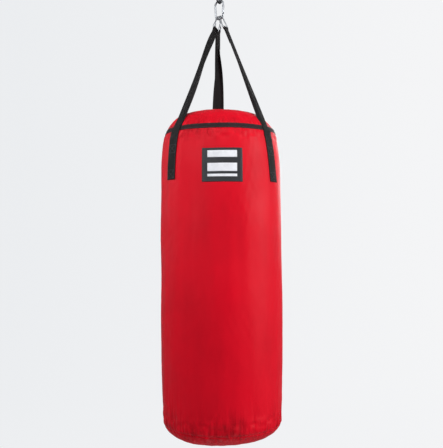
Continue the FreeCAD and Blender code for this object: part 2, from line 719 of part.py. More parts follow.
def make_housing():
    barrel = rimmed_disc(HOUSING_R, HOUSING_BASE_Z, HOUSING_TOP_Z, HOUSING_BASE_Z)
    bore = disc(HOUSING_BORE_R, HOUSING_BASE_Z + HOUSING_LIP, HOUSING_TOP_Z)
    hole = disc(STEM_HOLE_R, HOUSING_BASE_Z, HOUSING_TOP_Z)
    return barrel.cut(bore).cut(hole)


LOW_RACE_TOP = HOUSING_BASE_Z + HOUSING_LIP + RACE_THICK
BALL_Z = LOW_RACE_TOP + RACE_SPACE / 2
TOP_RACE_BASE = LOW_RACE_TOP + RACE_SPACE
TOP_RACE_TOP = TOP_RACE_BASE + RACE_THICK


def make_races():
    groove = Part.makeTorus(BALL_CIRCLE_R, GROOVE_R, Vector(0, 0, BALL_Z))
    low = disc(HOUSING_BORE_R, LOW_RACE_TOP - RACE_THICK, LOW_RACE_TOP)
    low = low.cut(disc(LOW_RACE_BORE_R, LOW_RACE_TOP - RACE_THICK, LOW_RACE_TOP)).cut(groove)
    top = disc(TOP_RACE_R, TOP_RACE_BASE, TOP_RACE_TOP)
    top = top.cut(disc(STEM_R, TOP_RACE_BASE, TOP_RACE_TOP)).cut(groove)
    return low, top


def make_balls_and_cage():
    cage = disc(CAGE_RADII[1], BALL_Z - CAGE_HALF, BALL_Z + CAGE_HALF)
    cage = cage.cut(disc(CAGE_RADII[0], BALL_Z - CAGE_HALF, BALL_Z + CAGE_HALF))
    balls = []
    for number in range(BALL_COUNT):
        angle = 360.0 * number / BALL_COUNT
        place = Vector(BALL_CIRCLE_R * cosine(angle), BALL_CIRCLE_R * sine(angle), BALL_Z)
        balls.append(Part.makeSphere(BALL_R, place))
        cage = cage.cut(Part.makeCylinder(GROOVE_R, 2 * BALL_R, place - UP * BALL_R))
    return Part.makeCompound(balls), cage


def make_nut():
    reach = NUT_FLATS / 2 / cosine(180.0 / NUT_SIDES)
    corners = []
    for number in range(NUT_SIDES + 1):
        angle = 360.0 * number / NUT_SIDES
        corners.append(Vector(reach * cosine(angle), reach * sine(angle), TOP_RACE_TOP))
    hexagon = Part.Face(Part.makePolygon(corners)).extrude(Vector(0, 0, NUT_THICK))
    return hexagon.cut(disc(STEM_R, TOP_RACE_TOP, TOP_RACE_TOP + NUT_THICK))


def make_spindle():
    """The stem that turns in the housing, with the lower eye on it."""
    eye = Part.makeTorus(LOW_EYE_ARC, LOW_EYE_ROD_R, Vector(0, 0, LOW_EYE_Z), HOOK_ALONG)
    stem = disc(STEM_R, LOW_EYE_Z + LOW_EYE_ARC, STEM_TOP_Z)
    collar = Part.makeCone(LOW_EYE_ROD_R, COLLAR_R, COLLAR_Z[1] - COLLAR_Z[0],
                           Vector(0, 0, COLLAR_Z[0]))
    return eye.fuse([stem, collar]).removeSplitter()


# ---------------------------------------------------------------- build
def make_parts():
    parts = {}
    parts["swivel_top_eye"] = make_top_eye()
    parts["swivel_housing"] = make_housing()
    parts["swivel_lower_race"], parts["swivel_upper_race"] = make_races()
    parts["swivel_balls"], parts["swivel_ball_cage"] = make_balls_and_cage()
    parts["swivel_nut"] = make_nut()
    parts["swivel_spindle"] = make_spindle()
    parts["hook_body"] = make_hook()
    parts["hook_gate"] = make_gate()
    parts["hook_gate_pin"] = make_gate_pin()
    parts["hook_gate_spring"] = make_gate_spring()
    parts["top_band"] = make_band()
    for side in STRAPS:
        parts["ring_" + side] = make_ring(side)
        parts["strap_" + side] = make_strap(side)
    parts["cover_top"], parts["cover_side"], parts["cover_bottom"] = make_covers()
    parts["padding_top"], parts["padding_wall"], parts["padding_bottom"] = make_padding()
    parts["inner_sack"] = skin(0.0, 180.0, -COVER - PADDING - SACK, -COVER - PADDING)
    parts["filling"] = core(-COVER - PADDING - SACK)
    parts["label_patch"], parts["label_print"] = make_label()
    parts["zip_tapes"], parts["zip_teeth"] = make_zip_rows()
    parts["zip_stops"] = make_zip_stops()
    parts["zip_slider"] = make_slider()
    parts["zip_pull"] = make_pull()
    return parts


os.makedirs("parts", exist_ok=True)
for name, shape in make_parts().items():
    shape.exportStep(os.path.join("parts", name + ".step"))
    print(name, "solids", len(shape.Solids), "valid", shape.isValid(),
          "volume", round(shape.Volume, 1))
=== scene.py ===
import json
from math import acos, atan2, cos, degrees, hypot, pi, radians, sin, sqrt

import bmesh
import bpy
import numpy as np
from mathutils import Matrix, Vector


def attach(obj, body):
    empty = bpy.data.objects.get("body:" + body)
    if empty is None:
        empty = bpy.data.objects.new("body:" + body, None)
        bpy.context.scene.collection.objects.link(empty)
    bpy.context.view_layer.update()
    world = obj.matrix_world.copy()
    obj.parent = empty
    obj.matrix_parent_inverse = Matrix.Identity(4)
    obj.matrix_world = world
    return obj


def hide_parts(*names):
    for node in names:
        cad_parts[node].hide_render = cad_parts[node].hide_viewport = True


# Looks of a hanging heavy bag, in metres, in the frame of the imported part. Azimuths run from
# the front (-Y) towards +X. A place on the bag is (azimuth, s): s is the length along the
# outline from the middle of the crown.
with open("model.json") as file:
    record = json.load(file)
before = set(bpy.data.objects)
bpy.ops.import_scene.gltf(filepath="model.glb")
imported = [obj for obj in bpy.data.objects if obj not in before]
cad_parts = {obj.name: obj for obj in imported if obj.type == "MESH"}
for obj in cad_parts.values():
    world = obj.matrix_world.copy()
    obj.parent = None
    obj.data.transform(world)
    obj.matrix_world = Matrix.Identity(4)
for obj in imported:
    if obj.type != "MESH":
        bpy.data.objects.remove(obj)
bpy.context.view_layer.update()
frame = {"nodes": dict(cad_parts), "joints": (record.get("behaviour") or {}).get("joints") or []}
NODES = frame["nodes"]
JOINTS = {joint["name"]: joint for joint in frame["joints"]}
MM = 0.001

# ---- dimensions, as in the CAD
CROWN_Z = -0.391
BAG_HEIGHT = 0.950
UPPER_ARCS = ((0.370, 15.0), (0.0925, 80.5), (0.600, 89.0))    # radius and end slope of the
WALL_END_SLOPE = 91.0                                           # crown, shoulder and upper wall
BASE_ARC = (0.050, 158.0)
COVER = 1.2 * MM
PADDING = 12 * MM
PAD_TOP_SLOPE = 47.0
PAD_BASE_SLOPE = 125.0
TOP_SEAM_SLOPE = 67.0
BASE_SEAM_SLOPE = 111.5
BAND_WIDTH = 15 * MM
BAND_THICK = 0.6 * MM
STRAPS = {"left": (-50.0, -52.5), "right": (53.5, 58.0), "back": (183.0, 183.0)}    # azimuths at
STRAP_WIDTH = 36 * MM                                           # the shoulder and at the sewn end
STRAP_ENDS = {"left": -0.598, "right": -0.606, "back": -0.606}  # heights of the sewn ends
RING_ROD_R = 1.7 * MM
RING_APEX_ARC = 9.2 * MM
RING_CORNER_ARC = 4 * MM
RING_BASE_HALF = 13 * MM
RING_HEIGHT = 40.5 * MM
LABEL_AZIMUTH = 1.5
LABEL_WIDTH = 110 * MM
LABEL_Z = (-0.610, -0.519)
LABEL_THICK = 0.9 * MM
# Width, low and high of each printed bar
PRINT_BARS = ((79 * MM, -0.5445, -0.526), (79 * MM, -0.582, -0.560), (79 * MM, -0.596, -0.589))
ZIP_HALF_ANGLE = 14.0
ZIP_SLOT_HALF = 5 * MM
ZIP_TAPE = (3 * MM, 12 * MM)    # from and to, off the middle
ZIP_TAPE_THICK = 0.8 * MM
ZIP_HALF_LENGTH = UPPER_ARCS[0][0] * sin(radians(ZIP_HALF_ANGLE))
ZIP_ROOM = ZIP_HALF_LENGTH + 9 * MM     # half length of the dent in the felt under the zip


def linked(name, data):
    """An object in the scene for a mesh, lamp or camera."""
    made = bpy.data.objects.new(name, data)
    bpy.context.scene.collection.objects.link(made)
    return made


# ---- camera
CAMERA_AT = (0.0014, -1.985, -0.762)
CAMERA_TILT = 91.25
CAMERA_ROLL = -0.45
CAMERA_LENS = 55.1


def make_camera():
    data = bpy.data.cameras.new("camera")
    data.lens = CAMERA_LENS
    data.clip_start = 0.01
    camera = linked("camera", data)
    tilt = Matrix.Rotation(radians(CAMERA_TILT), 4, "X")
    roll = Matrix.Rotation(radians(CAMERA_ROLL), 4, "Z")
    camera.matrix_world = Matrix.Translation(CAMERA_AT) @ tilt @ roll
    bpy.context.scene.camera = camera


make_camera()


# ---- outline of the bag
def make_outline():
    """Arcs of the half outline as (radius, start slope, end slope, centre r, centre z)."""
    rim_r = drop = slope = 0.0
    for radius, end in UPPER_ARCS:
        rim_r += radius * (sin(radians(end)) - sin(radians(slope)))
        drop += radius * (cos(radians(slope)) - cos(radians(end)))
        slope = end
    dish_start = radians(BASE_ARC[1])
    wall_end = radians(WALL_END_SLOPE)
    base_r = rim_r + BASE_ARC[0] * (sin(dish_start) - sin(wall_end))
    drop += BASE_ARC[0] * (cos(wall_end) - cos(dish_start))
    dish_radius = base_r / sin(dish_start)
    drop += dish_radius * (cos(dish_start) + 1.0)
    wall_radius = (BAG_HEIGHT - drop) / (cos(radians(slope)) - cos(wall_end))
    chain = UPPER_ARCS + ((wall_radius, WALL_END_SLOPE), BASE_ARC, (dish_radius, 180.0))
    arcs = []
    point_r, point_z, slope = 0.0, CROWN_Z, 0.0
    for radius, end in chain:
        centre_r = point_r - radius * sin(radians(slope))
        centre_z = point_z - radius * cos(radians(slope))
        arcs.append((radius, slope, end, centre_r, centre_z))
        point_r = centre_r + radius * sin(radians(end))
        point_z = centre_z + radius * cos(radians(end))
        slope = end
    return arcs


ARCS = make_outline()
KNOT_SLOPES = np.array([0.0] + [arc[2] for arc in ARCS])
ARC_LENGTHS = [arc[0] * radians(arc[2] - arc[1]) for arc in ARCS]
KNOT_LENGTHS = np.concatenate([[0.0], np.cumsum(ARC_LENGTHS)])


def length_at(slope):
    return float(np.interp(slope, KNOT_SLOPES, KNOT_LENGTHS))


def outline(s, offset=0.0):
    """r, z and the normal's r and z parts where the outline's length is s."""
    slope = np.interp(s, KNOT_LENGTHS, KNOT_SLOPES)
    arc = np.clip(np.searchsorted(KNOT_SLOPES, slope, side="left") - 1, 0, len(ARCS) - 1)
    table = np.array(ARCS)[arc]
    turn = np.radians(slope)
    reach = table[..., 0] + offset
    out_r, out_z = np.sin(turn), np.cos(turn)
    return table[..., 3] + reach * out_r, table[..., 4] + reach * out_z, out_r, out_z


def length_at_height(height):
    """s where the outline has this height."""
    s = np.linspace(0.0, KNOT_LENGTHS[-1], 20001)
    heights = outline(s)[1]
    return float(np.interp(-height, -heights, s))


TOP_SEAM = length_at(TOP_SEAM_SLOPE)
BASE_SEAM = length_at(BASE_SEAM_SLOPE)
POLE = float(KNOT_LENGTHS[-1])
LABEL_TOP, LABEL_BASE = length_at_height(LABEL_Z[1]), length_at_height(LABEL_Z[0])
STRAP_BASES = {side: length_at_height(height) for side, height in STRAP_ENDS.items()}


def all_round(count):
    """Azimuths at an even spacing all round."""
    return np.arange(count) * 2 * pi / count


def round_uvs(azimuths, lengths, radius):
    """UVs in metres for a piece that goes all round the bag, at about this radius."""
    return np.stack(np.meshgrid(np.append(azimuths, 2 * pi) * radius, lengths), -1)


def run_along(points):
    """The length along a line of points, at each point."""
    return np.concatenate([[0], np.cumsum(np.linalg.norm(np.diff(points, axis=0), axis=1))])


def on_bag(azimuth, s, offset=0.0):
    """Points and outward normals on the bag. Azimuths in radians."""
    r, z, out_r, out_z = outline(s, offset)
    side, front = np.sin(azimuth), -np.cos(azimuth)
    point = np.stack([r * side, r * front, z + 0 * azimuth], -1)
    normal = np.stack([out_r * side, out_r * front, out_z + 0 * azimuth], -1)
    return point, normal


# ---- relief of the cover
def smooth_step(x):
    x = np.clip(x, 0.0, 1.0)
    return x * x * (3 - 2 * x)


def wrapped(angle):
    return (angle + pi) % (2 * pi) - pi


def make_waves(seed, count, turns, lengths, height):
    """Random soft waves over the bag: whole turns round it, and a length down it."""
    rng = np.random.default_rng(seed)
    waves = []
    for _ in range(count):
        waves.append((rng.integers(turns[0], turns[1] + 1), rng.choice([-1, 1]) * rng.uniform(*lengths),
                      rng.uniform(0, 2 * pi), rng.uniform(0.5, 1.0)))
    return waves, height / sqrt(count / 2)


def wave_height(waves, azimuth, s):
    total = 0.0
    for turns, length, phase, share in waves[0]:
        total = total + share * np.cos(turns * azimuth + 2 * pi * s / length + phase)
    return total * waves[1]


CREASED = 0.55                  # share of the folds that are creases
PATCHY_LOW = 0.35               # what is left of folds and crumples in the smooth patches


def make_folds(seed, count, widths, heights, reaches):
    """Random puckers that run away from a seam, each a soft ridge or a crease."""
    rng = np.random.default_rng(seed)
    folds = []
    for number in range(count):
        centre = 2 * pi * (number + rng.uniform(-0.45, 0.45)) / count
        sign = -1.0 if rng.random() < CREASED else 1.0
        folds.append((centre, rng.uniform(*widths), sign * rng.uniform(*heights),
                      rng.uniform(*reaches), rng.normal(0.0, 0.5)))
    return folds


def fold_height(folds, azimuth, away):
    """Height of the folds at a distance from their seam; nothing on its other side."""
    total = 0.0
    for centre, width, height, reach, slant in folds:
        across = wrapped(azimuth - centre - slant * away) / width
        fade = np.exp(-np.maximum(away, 0.0) / reach)
        total = total + height * np.exp(-across * across) * fade
    return np.where(away > 0, total, 0.0)


LUMPS = make_waves(11, 14, (1, 6), (0.18, 0.7), 0.9 * MM)
DRAPE = make_waves(12, 16, (9, 26), (0.25, 0.9), 0.28 * MM)
CRUMPLE = make_waves(13, 22, (14, 60), (0.02, 0.09), 0.12 * MM)
SPARSE = make_waves(14, 8, (2, 6), (0.2, 0.5), 1.0)
BAND_BELOW = make_folds(21, 92, (0.012, 0.026), (0.8 * MM, 2.6 * MM), (0.012, 0.050))
BAND_ABOVE = make_folds(22, 84, (0.013, 0.028), (0.7 * MM, 2.2 * MM), (0.010, 0.035))
BASE_ABOVE = make_folds(23, 88, (0.012, 0.028), (0.9 * MM, 3.0 * MM), (0.014, 0.065))
BASE_BELOW = make_folds(24, 96, (0.012, 0.028), (0.6 * MM, 1.8 * MM), (0.010, 0.040))
SEAM_DIP = 1.3 * MM
DIP_REACH = 2.2 * MM
BAND_CALM = 7 * MM              # relief comes back over this length beside the band,
BASE_CALM = 5 * MM              # beside the base's seam
POLE_CALM = 30 * MM             # and round the middle of the base
BASE_SAG = 1.8 * MM             # the filling hangs lower on the left
SAG_REACH = 60 * MM
SAG_RADIUS = 140 * MM
KEPT_FLAT = 7 * MM              # relief fades over this length beside the label and the straps
SIM_COLUMNS, SIM_ROWS = 168, 110
SIM_FRAMES = 20
SIM_EXTRA = 0.012               # share by which the wall panel is cut too large
SIM_CAP = 2.6 * MM


def keep_clear(azimuth, s):
    """0 under the label and the sewn straps, 1 elsewhere."""
    radius = outline(s)[0]
    free = 1.0
    places = [(radians(LABEL_AZIMUTH), LABEL_WIDTH / 2, LABEL_TOP, LABEL_BASE)]
    for side, (start, end) in STRAPS.items():
        places.append((radians((start + end) / 2), STRAP_WIDTH / 2 + 4 * MM, 0.0, STRAP_BASES[side]))
    for centre, half, top, base in places:
        across = np.abs(wrapped(azimuth - centre)) * radius
        inside = 1.0
        for inwards in (half - across, s - top, base - s):
            inside = inside * smooth_step(inwards / KEPT_FLAT + 1)
        free = free * (1 - inside)
    return free


def sheet_faces(rows, columns, wrap, start=0):
    """Vertex numbers of the quads of a grid of points."""
    index = start + np.arange(rows * columns).reshape(rows, columns)
    if wrap:
        index = np.concatenate([index, index[:, :1]], 1)
    return quad_corners(index).reshape(-1, 4)


def quad_corners(grid):
    """The four corner values of each quad of a grid."""
    return np.stack([grid[:-1, :-1], grid[1:, :-1], grid[1:, 1:], grid[:-1, 1:]], 2)


def simulate_wall():
    """Cloth simulation of the wall panel, cut a little large, sewn in at both seams and blown
    out by the filling. Returns how far each point moves outwards, on a grid."""
    azimuth, s = np.meshgrid(all_round(SIM_COLUMNS), np.linspace(TOP_SEAM, BASE_SEAM, SIM_ROWS))
    start = 0.4 * wave_height(DRAPE, azimuth, s) + wave_height(CRUMPLE, azimuth, s)
    point, normal = on_bag(azimuth, s)
    point = point + normal * start[..., None]
    mesh = bpy.data.meshes.new("wall_panel")
    mesh.from_pydata(point.reshape(-1, 3).tolist(), [], sheet_faces(SIM_ROWS, SIM_COLUMNS, True).tolist())
    panel = linked("wall_panel", mesh)
    scene = bpy.context.scene
    ends = list(range(SIM_COLUMNS)) + list(range(SIM_COLUMNS * (SIM_ROWS - 1), SIM_COLUMNS * SIM_ROWS))
    panel.vertex_groups.new(name="sewn").add(ends, 1.0, "REPLACE")
    cloth = panel.modifiers.new("cloth", "CLOTH")
    settings = cloth.settings
    settings.quality = 6
    settings.mass = 0.35
    settings.tension_stiffness = settings.compression_stiffness = 18
    settings.shear_stiffness = 8
    settings.bending_stiffness = 0.6
    settings.shrink_min = -SIM_EXTRA
    settings.use_pressure = True
    settings.uniform_pressure_force = 4
    settings.vertex_group_mass = "sewn"
    settings.effector_weights.gravity = 0
    cloth.collision_settings.use_self_collision = False
    cloth.point_cache.frame_start, cloth.point_cache.frame_end = 1, SIM_FRAMES
    for number in range(1, SIM_FRAMES + 1):
        scene.frame_set(number)
    applied = bpy.data.meshes.new_from_object(panel.evaluated_get(bpy.context.evaluated_depsgraph_get()))
    moved = np.empty(len(applied.vertices) * 3)
    applied.vertices.foreach_get("co", moved)
    rise = ((moved.reshape(point.shape) - point) * normal).sum(-1) + start
    scene.frame_set(1)
    bpy.data.objects.remove(panel)
    bpy.data.meshes.remove(mesh)
    bpy.data.meshes.remove(applied)
    rise -= rise.mean(axis=1, keepdims=True)
    print("cloth moves", round(float(rise.min()) / MM, 2), round(float(rise.max()) / MM, 2))
    return SIM_CAP * np.tanh(rise / SIM_CAP)


def sampled(grid, azimuth, s):
    """A smooth value from the simulation's grid."""
    column = (azimuth % (2 * pi)) * SIM_COLUMNS / (2 * pi)
    row = np.clip((s - TOP_SEAM) / (BASE_SEAM - TOP_SEAM), 0, 1) * (SIM_ROWS - 1)
    first_column, first_row = np.floor(column).astype(int), np.floor(row).astype(int)
    part_column, part_row = column - first_column, row - first_row
    total = 0.0
    for step in range(-1, 3):
        line = 0.0
        rows = np.clip(first_row + step, 0, SIM_ROWS - 1)
        for along in range(-1, 3):
            line = line + cubic(along - part_column) * grid[rows, (first_column + along) % SIM_COLUMNS]
        total = total + cubic(step - part_row) * line
    return total


def cubic(distance):
    """Smoothing B-spline weight."""
    x = np.abs(distance)
    near = (4 - 6 * x * x + 3 * x ** 3) / 6
    far = np.maximum(2 - x, 0) ** 3 / 6
    return np.where(x < 1, near, far)


WALL_RISE = simulate_wall()


def relief(azimuth, s):
    """How far the cover stands out from the outline."""
    below_band, below_base = s - TOP_SEAM, s - BASE_SEAM
    near_band = smooth_step((np.abs(below_band) - BAND_WIDTH / 2 + 0.5 * MM) / BAND_CALM)
    near_base = 1 - np.exp(-(below_base / BASE_CALM) ** 2)
    near_pole = smooth_step((POLE - s) / POLE_CALM)
    patchy = PATCHY_LOW + (1 - PATCHY_LOW) * smooth_step(0.5 + 0.6 * wave_height(SPARSE, azimuth, s))
    folds = 0.0
    for kind, away in ((BAND_BELOW, below_band), (BAND_ABOVE, -below_band),
                       (BASE_ABOVE, -below_base), (BASE_BELOW, below_base)):
        folds = folds + fold_height(kind, azimuth, away)
    small = wave_height(CRUMPLE, azimuth, s) * patchy
    soft = wave_height(LUMPS, azimuth, s) + wave_height(DRAPE, azimuth, s)
    if WALL_RISE is not None:
        on_wall = (s > TOP_SEAM) & (s < BASE_SEAM)
        soft = soft + np.where(on_wall, sampled(WALL_RISE, azimuth, s), 0.0)
    height = soft + (folds * patchy + small) * keep_clear(azimuth, s)
    dip = SEAM_DIP * np.exp(-(below_base / DIP_REACH) ** 2)
    sag = -BASE_SAG * np.sin(azimuth) * smooth_step(below_base / SAG_REACH) * outline(s)[0] / SAG_RADIUS
    return height * near_band * near_base * near_pole - dip + sag


# ---- meshes
def mesh_from(name, points, faces, uvs=None, smooth=True):
    """A mesh with its normals turned outwards. uvs has one row for each face corner."""
    mesh = bpy.data.meshes.new(name)
    mesh.from_pydata(np.asarray(points).reshape(-1, 3).tolist(), [], faces)
    if uvs is not None:
        mesh.uv_layers.new(name="UVMap").data.foreach_set("uv", np.asarray(uvs, float).ravel())
    shell = bmesh.new()
    shell.from_mesh(mesh)
    bmesh.ops.recalc_face_normals(shell, faces=shell.faces)
    shell.to_mesh(mesh)
    shell.free()
    mesh.polygons.foreach_set("use_smooth", [smooth] * len(mesh.polygons))
    return mesh


def slab(name, middle, normal, thick, uvs, wrap=False, pole=False):
    """A closed sheet of a thickness round a grid of middle points; pole closes the last row."""
    rows, columns = middle.shape[:2]
    half = normal * (np.asarray(thick) * 0.5 * np.ones(middle.shape[:2]))[..., None]
    outer, inner = middle + half, middle - half
    count = rows * columns
    points = [outer.reshape(-1, 3), inner.reshape(-1, 3)]
    faces = sheet_faces(rows, columns, wrap).tolist()
    faces += sheet_faces(rows, columns, wrap, count)[:, ::-1].tolist()
    corner_uvs = quad_corners(uvs).reshape(-1, 4, 2)
    all_uvs = [corner_uvs.reshape(-1, 2), corner_uvs[:, ::-1].reshape(-1, 2)]
    index = np.arange(count).reshape(rows, columns)
    edges = [(index[0], uvs[0])] + ([] if pole else [(index[-1], uvs[-1])])
    if not wrap:
        edges += [(index[:, 0], uvs[:, 0]), (index[:, -1], uvs[:, -1])]
    for line, line_uvs in edges:
        line = np.append(line, line[0]) if wrap else line
        for near, far, near_uv, far_uv in zip(line[:-1], line[1:], line_uvs[:-1], line_uvs[1:]):
            faces.append([near, far, far + count, near + count])
            all_uvs.append(np.array([near_uv, far_uv, far_uv, near_uv]))
    if pole:
        points.append(np.array([outer[-1].mean(0), inner[-1].mean(0)]))
        for layer in (0, 1):
            ring = np.append(index[-1], index[-1][0]) + layer * count
            tip_uv = uvs[-1].mean(0)
            for column in range(columns):
                faces.append([ring[column], ring[column + 1], 2 * count + layer])
                all_uvs.append(np.array([uvs[-1][column], uvs[-1][column + 1], tip_uv]))
    return mesh_from(name, np.concatenate(points), faces, np.concatenate(all_uvs))


def tube(name, path, radius, sides=20):
    """A round rod along a closed path of points."""
    ahead = np.roll(path, -1, 0) - np.roll(path, 1, 0)
    ahead /= np.linalg.norm(ahead, axis=1, keepdims=True)
    flat = np.cross(path[len(path) // 4] - path[0], path[len(path) // 2] - path[0])
    flat /= np.linalg.norm(flat)
    across = np.cross(ahead, flat)
    turns = all_round(sides)[None, :, None]
    rings = path[:, None] + radius * (np.cos(turns) * across[:, None] + np.sin(turns) * flat)
    faces = sheet_faces(len(path) + 1, sides, True) % (len(path) * sides)
    return mesh_from(name, rings, faces.tolist())


def stitch_mesh(name, stitches, radius):
    """Thread stitches, each (middle, half length vector, outward normal)."""
    rings = ((-0.8, 0.75), (-0.3, 1.0), (0.3, 1.0), (0.8, 0.75))
    sides = 6
    points, faces = [], []
    for middle, half, normal in stitches:
        base = len(points)
        across = np.cross(normal, half)
        across /= np.linalg.norm(across)
        points.append(middle - half - normal * radius * 0.5)
        for along, size in rings:
            centre = middle + half * along + normal * radius * (0.5 - along * along)
            for turn in all_round(sides):
                points.append(centre + radius * size * (cos(turn) * across + sin(turn) * normal))
        points.append(middle + half - normal * radius * 0.5)
        last = len(points) - 1
        for number in range(sides):
            after = (number + 1) % sides
            faces.append([base, base + 1 + after, base + 1 + number])
            for low in range(base + 1, last - sides, sides):
                faces.append([low + number, low + after, low + sides + after, low + sides + number])
            faces.append([last, last - sides + number, last - sides + after])
    return mesh_from(name, np.array(points), faces)


def stitch_line(points, normals, pitch, stitch_length, closed=False):
    """Stitches at an even pitch along a line of points."""
    points, normals = np.asarray(points), np.asarray(normals)
    if closed:
        points, normals = np.vstack([points, points[:1]]), np.vstack([normals, normals[:1]])
    run = run_along(points)
    count = max(1, round(run[-1] / pitch))
    places = (np.arange(count) + 0.5) * run[-1] / count

    def at(values, place):
        return np.stack([np.interp(place, run, values[:, axis]) for axis in range(3)], -1)

    middles, outs = at(points, places), at(normals, places)
    halves = (at(points, places + stitch_length / 2) - at(points, places - stitch_length / 2)) / 2
    outs /= np.linalg.norm(outs, axis=1, keepdims=True)
    return list(zip(middles, halves, outs))


def place(name, mesh, slot_name, material, replaced=(), body="bag"):
    """Put a new piece on its body, with its finish, and hide the CAD nodes it stands for."""
    piece = linked(name, mesh)
    mesh.materials.append(material)
    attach(piece, body)
    if replaced:
        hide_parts(*replaced)
    return piece


THREAD_R = 0.3 * MM


def sew(name, stitches, slot_name, material, radius=THREAD_R):
    """A piece made of thread stitches."""
    place(name, stitch_mesh(name, stitches, radius), slot_name, material)


# ---- materials
class Finish:
    """A procedural material that is built up in steps. Values are numbers or node outputs."""

    def __init__(self, name, roughness, metallic=0.0, uv=False, **sockets):
        self.material = bpy.data.materials.new(name)
        self.material.use_nodes = True
        self.tree = self.material.node_tree
        self.shader = self.tree.nodes["Principled BSDF"]
        self.feed(self.shader, Roughness=roughness, Metallic=metallic, **sockets)
        source = self.add("TexCoord")
        self.where = source.outputs["UV" if uv else "Object"]
        self.solid = source.outputs["Object"]
        self.normal = None

    def fill(self, socket, value):
        if isinstance(value, bpy.types.NodeSocket):
            self.tree.links.new(value, socket)
        else:
            socket.default_value = value

    def feed(self, node, **inputs):
        """Fill inputs of the node by name, with underscores for spaces."""
        for name, value in inputs.items():
            self.fill(node.inputs[name.replace("_", " ")], value)

    def add(self, kind, settings=(), **inputs):
        made = self.tree.nodes.new("ShaderNode" + kind)
        for key, value in settings:
            setattr(made, key, value)
        self.feed(made, **inputs)
        return made

    def noise(self, scale, detail=3.0, stretch=(1, 1, 1), rough=0.55):
        """Cloudy noise from 0 to 1."""
        where = self.add("Mapping", Scale=stretch, Vector=self.solid).outputs["Vector"]
        made = self.add("TexNoise", Scale=scale, Detail=detail, Roughness=rough, Vector=where)
        return made.outputs["Fac"]

    def wave(self, period, direction="X", turn=0.0):
        """Even ribs with this period, from 0 to 1."""
        mapping = self.add("Mapping", Vector=self.where, Rotation=(0, 0, radians(turn)))
        made = self.add("TexWave", [("bands_direction", direction)], Scale=2 * pi / (20 * period),
                        Vector=mapping.outputs["Vector"])
        return made.outputs["Fac"]

    def mix(self, operation, first, second=0.0):
        made = self.add("Math", [("operation", operation)])
        self.fill(made.inputs[0], first)
        self.fill(made.inputs[1], second)
        return made.outputs[0]

    def range(self, value, low, high, start=0.3, end=0.7):
        """A value between two limits, spread evenly."""
        made = self.add("MapRange", Value=value, From_Min=start, From_Max=end, To_Min=low, To_Max=high)
        return made.outputs["Result"]

    def colours(self, value, *stops):
        """Colour from stops of (place, colour)."""
        made = self.add("ValToRGB", Fac=value)
        elements = made.color_ramp.elements
        while len(elements) < len(stops):
            elements.new(0.5)
        for element, (where, colour) in zip(elements, stops):
            element.position = where
            element.color = (*colour, 1)
        return made.outputs["Color"]

    def weigh(self, *pairs):
        """The sum of (value, share) pairs."""
        total = 0.0
        for value, share in pairs:
            total = self.mix("ADD", self.mix("MULTIPLY", value, share), total)
        return total

    def paint(self, value, *stops):
        self.feed(self.shader, Base_Color=self.colours(value, *stops))

    def tint(self, value, colour, *stops):
        """Shades of one colour, from stops of (place, brightness)."""
        self.paint(value, *[(where, [min(1.0, part * share) for part in colour]) for where, share in stops])

    def gloss(self, value, low, high):
        self.feed(self.shader, Roughness=self.range(value, low, high))

    def bump(self, height, distance, strength=1.0):
        made = self.add("Bump", Distance=distance, Strength=strength, Height=height)
        if self.normal is not None:
            self.feed(made, Normal=self.normal)
        self.normal = made.outputs["Normal"]
        self.feed(self.shader, Normal=self.normal)


def seam_gathers(finish, crown):
    """Fine creases square to the panel seams that fade away from them, and how near the seams
    are. The crown's UVs give its middle's distance by their length, the others' by their Y."""
    if crown:
        distance = finish.add("VectorMath", [("operation", "LENGTH")], Vector=finish.where).outputs["Value"]
    else:
        distance = finish.add("SeparateXYZ", Vector=finish.where).outputs["Y"]
    near = 0.0
    for seam, reach, depth in ((TOP_SEAM, 45 * MM, 1.0), (BASE_SEAM, 85 * MM, 1.3)):
        away = finish.mix("ABSOLUTE", finish.mix("SUBTRACT", distance, seam))
        near = finish.mix("ADD", finish.range(away, depth, 0.0, 6 * MM, reach), near)
    fine, broad = finish.noise(95.0, 2.0, (1, 1, 0.10), 0.5), finish.noise(31.0, 2.0, (1, 1, 0.35))
    creases = finish.mix("ADD", fine, broad)
    # The creases give the bump, and in the red nylon's colour also painted shade in their hollows and
    # painted light on their ridges.
    return finish.mix("MULTIPLY", finish.mix("SUBTRACT", creases, 1.0), near), near


def coated_nylon(name, crown=False):
    """Red nylon with a smooth coating: a fine plain weave, faint creases and rubbed patches. Painted shade
    darkens the creases and the cloth beside the seams, and painted light brightens the ridges between the
    creases.
    """
    finish = Finish(name, 0.5, uv=True, Specular_IOR_Level=0.12)
    red = (0.63, 0.0010, 0.0125)
    cloudy = finish.noise(5.0, 4.0)
    streaks = finish.noise(26.0, 3.0, (1, 1, 0.25))
    gathers_and_shade, near = seam_gathers(finish, crown)
    finish.bump(gathers_and_shade, 4.5 * MM)
    # Painted shade and light: the gathers darken the creases and lighten their ridges, and nearness to a
    # seam darkens the cloth, most beside the base's seam. The darkest stop of the ramp is the shade in the
    # creases.
    tone = finish.weigh((cloudy, 0.65), (streaks, 0.35), (gathers_and_shade, 0.95), (near, -0.12))
    finish.tint(tone, red, (0.05, 0.62), (0.30, 0.88), (0.5, 1.0), (0.72, 1.09))
    finish.gloss(finish.noise(14.0, 5.0), 0.44, 0.56)
    warp = finish.wave(0.9 * MM, "X")
    weft = finish.wave(0.9 * MM, "Y")
    finish.bump(finish.mix("MULTIPLY", warp, weft), 0.05 * MM, 0.5)
    finish.bump(finish.noise(70.0, 6.0, (1, 1, 0.6), 0.6), 0.35 * MM, 0.6)
    finish.bump(finish.noise(17.0, 4.0, (1, 1, 0.5)), 1.3 * MM, 0.5)
    return finish.material


